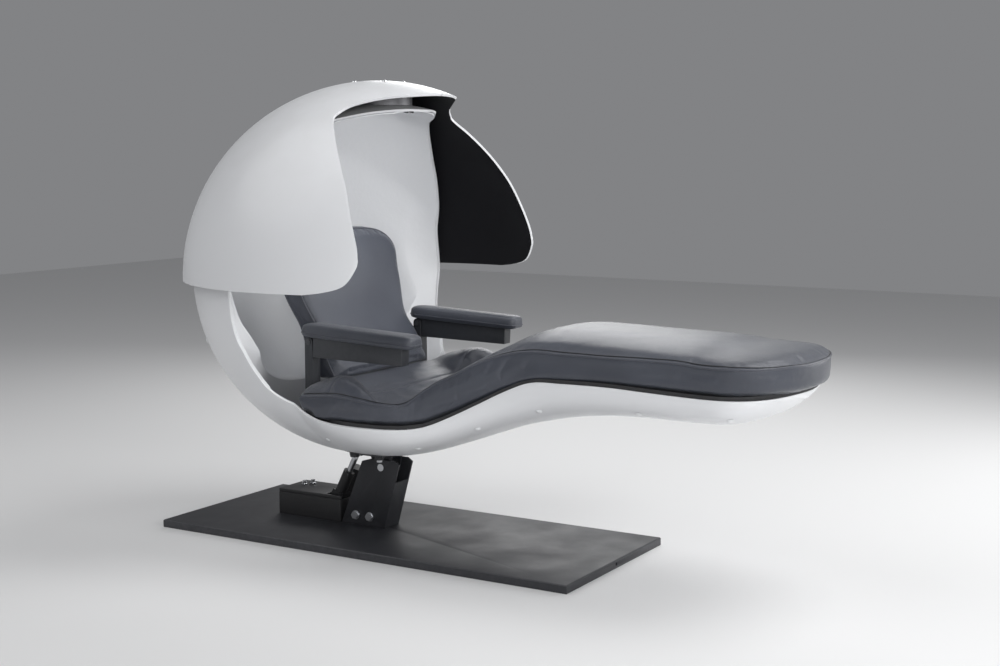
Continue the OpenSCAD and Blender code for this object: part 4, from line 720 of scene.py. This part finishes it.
def eased(name, width, body, key):
    mesh = nodes[name].data.copy()
    mesh.materials.clear()
    bm = bmesh.new()
    bm.from_mesh(mesh)
    bmesh.ops.remove_doubles(bm, verts=bm.verts, dist=easedSettings["weld"])
    flat = math.radians(easedSettings["flat"])
    bmesh.ops.dissolve_limit(bm, angle_limit=flat, verts=bm.verts, edges=bm.edges)
    bm.to_mesh(mesh)
    bm.free()
    piece = makeObject(name + "Eased", mesh)
    bevelEdges(piece, width, angle=easedSettings["angle"])
    dress(piece, key)
    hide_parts(name)
    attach(piece, body)


for (body, slotName, key), widths in easedPieces.items():
    for name, width in widths.items():
        eased(name, width, body, key)
    print("eased", list(widths))


# Soft pieces

def closedSection(points, steps=6):
    # Points round a closed section, drawn smoothly through its corners
    total = len(points)
    dense = []
    for i in range(total):
        a, b, c, d = (points[(i + k) % total] for k in (-1, 0, 1, 2))
        dense += [splinePoint(a, b, c, d, j / steps) for j in range(steps)]
    return dense


# Boxing, bucket and crown along the seat, as shares of the reach and of their full sizes
riseShares = [(-0.05, 0.93), (0.04, 0.93), (0.108, 0.96), (0.199, 0.8), (0.235, 0.76), (0.247, 0.9),
              (0.262, 1.16), (0.288, 1.39), (0.315, 1.44), (0.371, 1.5), (0.429, 1.31), (0.48, 1.09),
              (0.548, 1.01), (0.643, 0.975), (0.735, 1.05), (0.793, 1.07), (0.852, 1.01), (1, 1)]
bucketShares = [(-0.05, -0.2), (0, -0.17), (0.03, 0.02), (0.07, 0.42), (0.11, 0.8), (0.15, 0.92),
                (0.18, 0.72), (0.21, 0.45), (0.24, 0.25), (0.262, 0.2), (0.329, 0.2), (0.396, 0.08),
                (0.44, 0), (1, 0)]
crownShares = [(0.24, 0), (0.33, 0.05), (0.38, 0.3), (0.43, 0.78), (0.463, 0.92), (0.53, 1.02),
               (0.585, 1.02), (0.66, 0.95), (0.73, 0.85), (0.8, 0.78), (0.875, 0.72), (0.93, 0.65),
               (0.97, 0.47), (1, 0.12)]
riseTable = scaled(riseShares, seat["reach"], seat["boxing"])
bucketTable = scaled(bucketShares, seat["reach"], seat["bucket"])
crownTable = scaled(crownShares, seat["reach"], seat["crown"])
# Height of the raised rear flanks, in millimetres
bolsterRises = [(-40, 20), (0, 26), (60, 36), (115, 42), (160, 38), (205, 26), (260, 10), (310, 0),
                (1500, 0)]
cushionSettings = dict(voxel=0.0075, pressure=5.0, cap=0.007, slack=2.0, columns=40, topShare=0.985,
                       rows=90, footRows=24, footTurn=86.0, endRound=14.0, endNear=4.2,
                       leastRounds=1.5, seamShare=0.8, sideShare=0.6, footTuck=20.0, tuckFrom=0.86,
                       tuckLength=0.1, lowTuck=0.45, pipingRadius=0.0034, threadRadius=0.0016,
                       pathRows=120, footPathRows=40)
undersideShares = (0.97, 0.8, 0.6, 0.4, 0.2, 0, -0.2, -0.4, -0.6, -0.8, -0.97)
flank = dict(inner=0.5, outer=0.68, shift=0.34, start=0.04, end=0.17, crest=0.8, wide=0.3,
             crestShift=0.4, fall=2.2, floor=4.0, edge=0.1)


def rimLip(x):
    # How far the rim's inner edge stands above its outer edge
    return pod["shellWall"] * mix(math.cos(math.radians(seatSide)), 0, blendAt(x))


def boardUnder(x):
    level = max(x, seat["underShare"] * seat["reach"])
    return curveAt(level, rimTable) + rimLip(level) + seat["boardGap"]


def cushionLow(x):
    return boardUnder(x) + seat["boardT"] + seat["gap"]


def rimKeep(x, z, lead=seat["seamRound"]):
    # How far in from the rim a side stays, from the height of lead above it downwards
    drop = max(0, curveAt(x, rimTable) + lead - z)
    walls = seat["innerWalls"] * pod["shellWall"]
    return seat["innerSlope"] * drop + walls * clamp01(drop / max(lead, pod["shellWall"]))


def skewAt(x):
    # How much farther forward the cushion's sides are than its middle
    return seat["skew"] * (1 - smooth((x - seat["rear"]) / seat["skewLength"]))


def cushionTop(x, u):
    # Height of the top over the seam, where u is the share of the half width
    shift = flank["shift"] * smooth((x / seat["reach"] - flank["start"]) / flank["end"])
    raised = smooth((u - flank["inner"] - shift) / (flank["outer"] - flank["inner"]))
    away = (u - flank["crest"] - shift * flank["crestShift"]) / flank["wide"]
    swell = math.exp(-away * away * flank["fall"]) - math.exp(-flank["floor"])
    bolster = curveAt(x, bolsterRises) * swell * raised * smooth((1 - u) / flank["edge"])
    bucket = curveAt(x, bucketTable) * (1 - raised)
    return -bucket + curveAt(x, crownTable) * (1 - u ** seat["crownPower"]) + bolster


def cushionSeam(x, shrink=0.0):
    least = cushionLow(x) + shrink / 2 + seat["seamRound"] * cushionSettings["leastRounds"]
    return max(cushionLow(x) + curveAt(x, riseTable) - shrink, least)


def cushionLoop(x, shrink):
    settings = cushionSettings
    skew = skewAt(x)
    half = max(seatWidth(x, seat["reach"]) + seat["overhang"] - shrink, 2 * seat["drawIn"])
    low = cushionLow(x) + shrink / 2
    seam = cushionSeam(x, shrink)
    rounding = seat["seamRound"]
    middle = mix(seam - rounding, low + rounding, 0.5)
    tuck = settings["footTuck"] * smooth((x / seat["reach"] - settings["tuckFrom"]) / settings["tuckLength"])
    edge = half - rimKeep(x + skew, low) - tuck
    sideMid = half - seat["drawIn"] - rimKeep(x + skew, middle)
    sideLow = half - seat["drawIn"] / 2 - rimKeep(x + skew, low + rounding) - tuck * settings["lowTuck"]
    top = []
    for i in range(-settings["columns"], settings["columns"] + 1):
        s = i / settings["columns"] * settings["topShare"]
        u = abs(s)
        top.append(Vector((x + skew * u * u, s * half, seam + cushionTop(x, u))))
    share = settings["sideShare"]
    right = [Vector((x + skew, half, seam - rounding * settings["seamShare"])),
             Vector((x + skew, mix(half, sideMid, share), mix(seam, middle, share))),
             Vector((x + skew, sideMid, middle)), Vector((x + skew, sideLow, low + rounding))]
    left = [Vector((p.x, -p.y, p.z)) for p in reversed(right)]
    under = [Vector((x + skew * s * s, s * (edge - rounding), low)) for s in undersideShares]
    return top + right + under + left


clothFrames = 12
clothSettings = {"quality": 4, "mass": 0.35, "tension_stiffness": 20, "compression_stiffness": 8,
                 "shear_stiffness": 6, "bending_stiffness": 1.2, "use_pressure": True}


def vertexValues(mesh, label):
    values = np.empty(len(mesh.vertices) * 3)
    mesh.vertices.foreach_get(label, values)
    return values.reshape(-1, 3)


def inflate(piece, pressure, cap):
    # The piece is swollen a little as cloth, and each point kept within cap of where it started
    start = vertexValues(piece.data, "co")
    cloth = piece.modifiers.new("cloth", "CLOTH")
    for key, value in clothSettings.items():
        setattr(cloth.settings, key, value)
    cloth.settings.uniform_pressure_force = pressure
    cloth.settings.effector_weights.gravity = 0
    cloth.collision_settings.use_self_collision = False
    cloth.point_cache.frame_start = 1
    cloth.point_cache.frame_end = clothFrames
    for step in range(1, clothFrames + 1):
        scene.frame_set(step)
    applyModifiers(piece)
    scene.frame_set(1)
    move = vertexValues(piece.data, "co") - start
    far = np.linalg.norm(move, axis=1, keepdims=True)
    move *= np.minimum(1, cap / np.maximum(far, 1e-9))
    piece.data.vertices.foreach_set("co", (start + move).ravel())
    piece.data.update()


def soften(piece, settings):
    # The form is remeshed evenly, swollen where there is pressure, and subdivided
    remesh = piece.modifiers.new("even", "REMESH")
    remesh.mode = "VOXEL"
    remesh.voxel_size = settings["voxel"]
    applyModifiers(piece)
    if settings["pressure"] > 0:
        inflate(piece, settings["pressure"], settings["cap"])
    finer = piece.modifiers.new("finer", "SUBSURF")
    finer.levels = 1
    finer.render_levels = 1
    applyModifiers(piece)
    piece.data.shade_smooth()


def shapeVertices(piece, change):
    # Each point is moved along its normal by what change() gives for it
    mesh = piece.data
    co = vertexValues(mesh, "co")
    normals = vertexValues(mesh, "normal")
    co += normals * change(co, normals)[:, None]
    mesh.vertices.foreach_set("co", co.ravel())
    mesh.update()


def wave(points, scale, seed):
    return np.array([noise.noise(Vector(p) * scale + Vector((seed, 0, 0))) for p in points])


def ridge(values, at, width):
    return np.exp(-((values - at) / width) ** 2)


def roundedEnd(first, last, turn, count, shrink=0.0, power=5):
    # Places from first to last, closer together at the end, each with how much its section shrinks
    return [(mix(first, last, math.sin(math.radians(turn * i / count))), shrink * (i / count) ** power)
            for i in range(1, count + 1)]


def cushionStations():
    # Distances along the seat, each with how much its section shrinks
    settings = cushionSettings
    reach = seat["reach"]
    footStart = reach * (1 - seat["footShare"])
    rows = [(seat["rear"], settings["endRound"]), (seat["rear"] + settings["endNear"], settings["endNear"]),
            (seat["rear"] + settings["endRound"], 0.0)]
    rows += [(x, 0.0) for x in spaced(0, footStart, settings["rows"])]
    return rows + roundedEnd(footStart, reach, settings["footTurn"], settings["footRows"],
                             settings["endRound"])


cushion = closedLoft("seatCushion", [cushionLoop(x, shrink + cushionSettings["slack"])
                                     for x, shrink in cushionStations()])
soften(cushion, cushionSettings)

# Two seams cross the hips, at distances from the sphere's centre in millimetres; waves are scale and seed.
cushionRelief = dict(seams=(128.0, 372.0), lean=0.02, depth=0.003, seam=(0, 0.0035), rise=0.0012,
                     lip=(0.014, 0.010), hips=(190.0, 170.0), slow=0.0022, slowWave=(9, 3.1),
                     folds=0.0013, foldWave=(26, 7.7), foldStretch=(1.0, 0.45, 1.0), foldSlope=3,
                     fine=0.0007, fineWave=(16, 11.3))


def cushionDetail(co, normals):
    relief = cushionRelief
    x = co[:, 0] * 1000 - centre.x
    y = np.abs(co[:, 1]) * 1000
    up = np.clip(normals[:, 2], 0, 1)
    move = np.zeros(len(co))
    for at in relief["seams"]:
        d = np.abs(x - at + relief["lean"] * y) / 1000
        move -= relief["depth"] * ridge(d, *relief["seam"]) * up
        move += relief["rise"] * ridge(d, *relief["lip"]) * up
    slow = relief["slow"] * wave(co, *relief["slowWave"])
    folds = np.abs(wave(co * np.array(relief["foldStretch"]), *relief["foldWave"]))
    move += ridge(x, *relief["hips"]) * (slow + relief["folds"] * (1 - folds * relief["foldSlope"]))
    return move + relief["fine"] * wave(co, *relief["fineWave"])


shapeVertices(cushion, cushionDetail)
dress(cushion, "leather")
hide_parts("seat_cushion")
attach(cushion, "pod")
print("cushion", len(cushion.data.polygons))


def onSurface(piece, points, lift):
    # The points moved onto a piece's surface, then out from it by lift
    mesh = piece.data
    tree = BVHTree.FromPolygons([v.co for v in mesh.vertices], [p.vertices for p in mesh.polygons])
    found = []
    for p in points:
        spot, normal, _, _ = tree.find_nearest(p)
        found.append(spot + normal * lift)
    return found


def evened(points, times, closed=False):
    # A line of points, each drawn towards its neighbours a few times
    points = [Vector(p) for p in points]
    for _ in range(times):
        points = [points[i] if not closed and i in (0, len(points) - 1)
                  else (points[i - 1] + points[i] * 2 + points[(i + 1) % len(points)]) / 4
                  for i in range(len(points))]
    return points


def seamPath(height, out, start, side):
    # One side of the cushion's edge: height above or below the seam and out from it
    reach = seat["reach"]
    footStart = reach * (1 - seat["footShare"])
    stations = spaced(start, footStart, cushionSettings["pathRows"])
    stations += [x for x, _ in roundedEnd(footStart, reach, 90, cushionSettings["footPathRows"])[:-1]]
    path = []
    for x in stations:
        half = seatWidth(x, reach) + seat["overhang"] + out
        path.append(Vector((x + skewAt(x), side * half, cushionSeam(x) + height)))
    return path


def pipingRound(name, height, out, start, radius, lift, key):
    near = seamPath(height, out, start, -1)
    far = seamPath(height, out, start, 1)
    path = [place(p) for p in near + list(reversed(far))]
    piece = tube(name, evened(onSurface(cushion, path, radius * lift), times=4), radius)
    dress(piece, key)
    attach(piece, "pod")


# Under the seat a dark flap closes the slot between the board and the shell's raised rim.
flapSettings = dict(start=-8.0, end=330.0, steps=60, wallClear=3.0, drop=3.0, tuckIn=3.0, tuckUnder=0.5,
                    thick=1.6)


def seatFlap(name, side):
    loops = []
    for x in spaced(flapSettings["start"], flapSettings["end"], flapSettings["steps"]):
        ahead = x + skewAt(x)
        rim = troughPoint(ahead, 1, pod["shellWall"])
        low = boardUnder(x)
        board = seatWidth(x, seat["reach"] - seat["boardEnd"]) - seat["boardInset"]
        board -= rimKeep(ahead, low, rimLip(x))
        outer = Vector((ahead, side * (rim.y - flapSettings["wallClear"]), rim.z - flapSettings["drop"]))
        inner = Vector((ahead, side * (board - flapSettings["tuckIn"]), low - flapSettings["tuckUnder"]))
        down = Vector((0, 0, -flapSettings["thick"]))
        middle = (outer + inner) / 2 + down
        loops.append([outer, middle, inner, inner + down, middle + down, outer + down])
    flap = closedLoft(name, loops)
    dress(flap, "board")
    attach(flap, "pod")


seatFlap("seatFlapLeft", 1)
seatFlap("seatFlapRight", -1)
pipingRound("cushionSeamTop", height=3.0, out=-15.0, start=seat["rear"] + 20,
            radius=cushionSettings["threadRadius"], lift=0.2, key="seamThread")
pipingRound("cushionPipingTop", height=-2.0, out=-1.0, start=seat["rear"] + 12,
            radius=cushionSettings["pipingRadius"], lift=0.1, key="piping")
print("piping and flaps done")

# Backrest

back = dict(height=452.0, aboveLevel=106.0, half=250.0, flare=32.0, thick=80.0, crown=20.0, round=100.0,
            power=2.3, topShare=0.36, edge=16.0, voxel=0.006, pressure=5.0, cap=0.006, slack=2.0,
            columns=24, faceShare=0.975, frontShare=0.45, drawIn=4.0, plainFrom=22.0, rows=40,
            roundRows=24, pipingIn=3.0, pipingRear=6.0, pipingRadius=0.003, pipingLift=0.0008)
back["bottom"] = keelDepth - seat["levelShare"] * seat["legRise"] - back["aboveLevel"]
backTop = back["height"] - back["bottom"]
leanTable = scaled([(0, -0.032), (0.184, 0.0617), (0.369, 0.163), (0.515, 0.2215), (0.664, 0.2595),
                    (0.834, 0.29), (1, 0.329)], back["height"], back["height"])
flareTable = scaled([(0, 0.45), (0.12, 0.5), (0.22, 0.42), (0.3, 0.12), (0.3535, 0), (0.54, 0.82),
                     (0.664, 1), (1, 1)], back["height"], back["flare"])
backRearShares = (0.95, 0.7, 0.35, 0, -0.35, -0.7, -0.95)


def backWidth(z):
    t = clamp01((z - backTop + back["round"]) / back["round"])
    corner = max(1 - t ** back["power"], 0) ** (1 / back["power"])
    return (back["half"] + curveAt(z + back["bottom"], flareTable)) * mix(back["topShare"], 1, corner)


def backLoop(z, shrink):
    half = backWidth(z) - shrink
    front = -curveAt(z + back["bottom"], leanTable) - shrink * 0.5
    rear = front - back["thick"] + shrink
    face = []
    for i in range(-back["columns"], back["columns"] + 1):
        s = i / back["columns"] * back["faceShare"]
        bulge = back["crown"] * (1 - s * s) * (1 - shrink / back["edge"])
        face.append(Vector((front + bulge, s * half, z)))
    side = [Vector((front - back["edge"] * back["frontShare"], half, z)),
            Vector((mix(front, rear, 0.5), half - back["drawIn"], z)),
            Vector((rear + back["edge"] * 0.5, half, z))]
    rearFace = [Vector((rear, s * half, z)) for s in backRearShares]
    return face + side + rearFace + [Vector((p.x, -p.y, p.z)) for p in reversed(side)]


# Heights of the backrest's sections, each with how much it shrinks
roundStart = backTop - back["round"]
backRows = [(z - back["bottom"], shrink) for z, shrink in ((1, 9.0), (5, 3.5), (12, 0.5))]
backRows += [(z, 0.0) for z in spaced(back["plainFrom"] - back["bottom"], roundStart, back["rows"])]
backRows += roundedEnd(roundStart, backTop, 90, back["roundRows"], back["edge"])
backrest = closedLoft("backrestCushion", [backLoop(z, shrink + back["slack"]) for z, shrink in backRows])
soften(backrest, back)
backRelief = dict(low=(0.55, 0.09), slow=0.0008, slowWave=(8, 5.5), folds=0.0016,
                  foldStretch=(1, 0.4, 1.2), foldWave=(22, 9.2), foldSlope=3)


def backDetail(co, normals):
    # A slow wave all over, and folds across the lower back
    relief = backRelief
    folds = np.abs(wave(co * np.array(relief["foldStretch"]), *relief["foldWave"]))
    slow = relief["slow"] * wave(co, *relief["slowWave"])
    return slow + ridge(co[:, 2], *relief["low"]) * relief["folds"] * (1 - relief["foldSlope"] * folds)


shapeVertices(backrest, backDetail)
# The backrest's leather is the seat's leather made lighter, which paints light on it
dress(backrest, "backLeatherPaintedLight")
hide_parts("backrest_cushion")
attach(backrest, "pod")


def backOutline(depthIn):
    # Up one side, over the top and down the other, at a depth behind the front face
    sides = []
    for side in (-1, 1):
        sides.append([Vector((-curveAt(z + back["bottom"], leanTable) - depthIn, side * backWidth(z), z))
                      for z, _ in backRows])
    crossing = [Vector((-curveAt(back["height"], leanTable) - depthIn, y, backTop))
                for y in spaced(-backWidth(backTop), backWidth(backTop), 16)[1:-1]]
    return sides[0] + crossing + list(reversed(sides[1]))


for name, depthIn in (("backPipingFront", back["pipingIn"]),
                      ("backPipingRear", back["thick"] - back["pipingRear"])):
    path = [place(p) for p in backOutline(depthIn)]
    piece = tube(name, evened(onSurface(backrest, path, back["pipingLift"]), times=4), back["pipingRadius"])
    dress(piece, "piping")
    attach(piece, "pod")
print("backrest", len(backrest.data.polygons))

# Arm pads

arm = dict(offset=300.0, postBack=141.0, rise=227.7, slope=2.4, length=418.0, width=82.0, thick=42.0,
           rear=29.0, lift=16.8, endLift=0.35, endRise=0.15, drawIn=1.0, voxel=0.004, pressure=0.0,
           ripple=0.0005, rippleWave=(24, 2.2))
welt = dict(points=200, endPower=0.5, sidePower=0.3, height=0.3, leastWidth=0.3, lift=0.0002,
            radius=0.0022)
armPivot = Vector((-arm["postBack"], 0,
                   pod["under"] + seat["levelShare"] * seat["legRise"] - seat["gap"] + arm["rise"]))
padSection = [(-1, 0.3), (-0.97, 0.62), (-0.82, 0.9), (-0.45, 1), (0, 1.03), (0.45, 1), (0.82, 0.9),
              (0.97, 0.62), (1, 0.3), (0.93, 0.06), (0.8, 0), (0.4, 0), (0, 0), (-0.4, 0), (-0.8, 0),
              (-0.93, 0.06)]
padEnds = [(0, 0.4), (0.02, 0.68), (0.05, 0.86), (0.1, 0.96), (0.2, 1), (0.4, 1), (0.6, 1), (0.8, 1),
           (0.92, 0.99), (0.96, 0.95), (0.985, 0.82), (1, 0.55)]
padStations = [0, 0.008, 0.02, 0.035] + spaced(0.05, 0.95, 30) + [0.965, 0.98, 0.992, 1]


def armPoint(along, y, z):
    # A point of the sloping arm, in millimetres from the frame's origin
    slope = math.radians(arm["slope"])
    x = along * arm["length"] - arm["rear"]
    return (armPivot.x + x * math.cos(slope) + z * math.sin(slope), y,
            armPivot.z - x * math.sin(slope) + z * math.cos(slope))


def padLoops(side):
    loops = []
    for along in padStations:
        e = curveAt(along, padEnds)
        ring = []
        for a, b in padSection:
            y = side * arm["offset"] - a * (arm["width"] / 2 - arm["drawIn"]) * e
            z = arm["lift"] + arm["thick"] * (b * mix(e, 1, arm["endLift"]) + arm["endRise"] * (1 - e))
            x, y, z = armPoint(along, y, z)
            ring.append(Vector((x - centre.x, y, z - centre.z)))
        loops.append(closedSection(ring)[::2])
    return loops


def softPower(value, power):
    return math.copysign(abs(value) ** power, value)


def weltLine(side):
    # A rounded rectangle round the pad at the height of its seam
    line = []
    for i in range(welt["points"]):
        a = 2 * math.pi * i / welt["points"]
        along = 0.5 - 0.5 * softPower(math.cos(a), welt["endPower"])
        e = max(curveAt(along, padEnds), welt["leastWidth"])
        y = softPower(math.sin(a), welt["sidePower"]) * arm["width"] / 2 * e
        z = arm["lift"] + arm["thick"] * welt["height"]
        line.append(Vector(armPoint(along, side * arm["offset"] + y, z)) / 1000)
    return line


for side, body, node in ((1, "arm_left", "arm_pad_left"), (-1, "arm_right", "arm_pad_right")):
    pad = closedLoft("armPadLeft" if side > 0 else "armPadRight", padLoops(side))
    soften(pad, arm)
    shapeVertices(pad, lambda co, normals: arm["ripple"] * wave(co, *arm["rippleWave"]))
    # The pads' leather is the seat's leather made lighter, which paints light on them
    dress(pad, "padLeatherPaintedLight")
    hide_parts(node)
    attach(pad, body)
    line = evened(onSurface(pad, weltLine(side), welt["lift"]), times=3, closed=True)
    piece = tube(pad.name + "Welt", line, welt["radius"], closed=True)
    dress(piece, "piping")
    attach(piece, body)
print("arm pads done")

# Stage, lamps and camera

stageSettings = dict(floorTone=(0.78, 0.78, 0.78), half=9.0, below=0.0005, skyTone=(0.86, 0.87, 0.9),
                     skyStrength=0.26)
bm = bmesh.new()
span = stageSettings["half"]
bm.faces.new([bm.verts.new((x, y, -stageSettings["below"]))
              for x, y in ((-span, -span), (span, -span), (span, span), (-span, span))])
floor = finishMesh(bm, "floor")
floorMaterial, _, _ = newMaterial("floorPaper", {"Base Color": (*stageSettings["floorTone"], 1),
                                                 "Roughness": 0.9, "Specular IOR Level": 0.2})
floor.data.materials.append(floorMaterial)

world = bpy.data.worlds.new("studio")
scene.world = world
world.use_nodes = True
sky = world.node_tree.nodes["Background"].inputs
sky["Color"].default_value = (*stageSettings["skyTone"], 1)
sky["Strength"].default_value = stageSettings["skyStrength"]

# Place, target, width in metres and power in watts
lampSettings = [
    ("keyLamp", (-2.0, -2.0, 4.2), (0, 0, 0.8), 4.6, 66.0),
    ("topLamp", (1.9, 1.2, 3.8), (0.7, 0, 0.5), 2.6, 74.0),
    ("frontLamp", (4.2, -1.2, 1.9), (-0.4, 0.1, 0.9), 1.8, 64.0),
    ("nearLamp", (2.6, -4.0, 1.15), (-0.4, 0, 0.75), 1.2, 24.0),
    ("canopyGlow", (0.02, 0.0, 1.24), (-0.5, 0, 0.5), 0.4, 1.1),
    ("insideLamp", (2.9, 2.7, 1.3), (-0.4, -0.35, 0.6), 1.4, 30.0),
    ("rimLamp", (-1.4, 3.6, 2.2), (0.2, 0, 0.8), 2.2, 34.0),
]
for name, spot, target, size, power in lampSettings:
    lamp = bpy.data.lights.new(name, "AREA")
    lamp.shape = "DISK"
    lamp.size = size
    lamp.energy = power
    holder = makeObject(name, lamp)
    holder.location = spot
    holder.rotation_euler = (Vector(target) - Vector(spot)).to_track_quat("-Z", "Y").to_euler()
print("lamps", len(lampSettings))

cameraSettings = dict(spot=(2.7807, -4.0832, 1.2737), yaw=30.7159, pitch=7.0372, lens=55.8, sensor=36.0)
cameraData = bpy.data.cameras.new("camera")
cameraData.lens = cameraSettings["lens"]
cameraData.sensor_width = cameraSettings["sensor"]
camera = makeObject("camera", cameraData)
camera.location = cameraSettings["spot"]
camera.rotation_euler = (math.radians(90 - cameraSettings["pitch"]), 0, math.radians(cameraSettings["yaw"]))
scene.camera = camera
scene.view_settings.view_transform = "Standard"
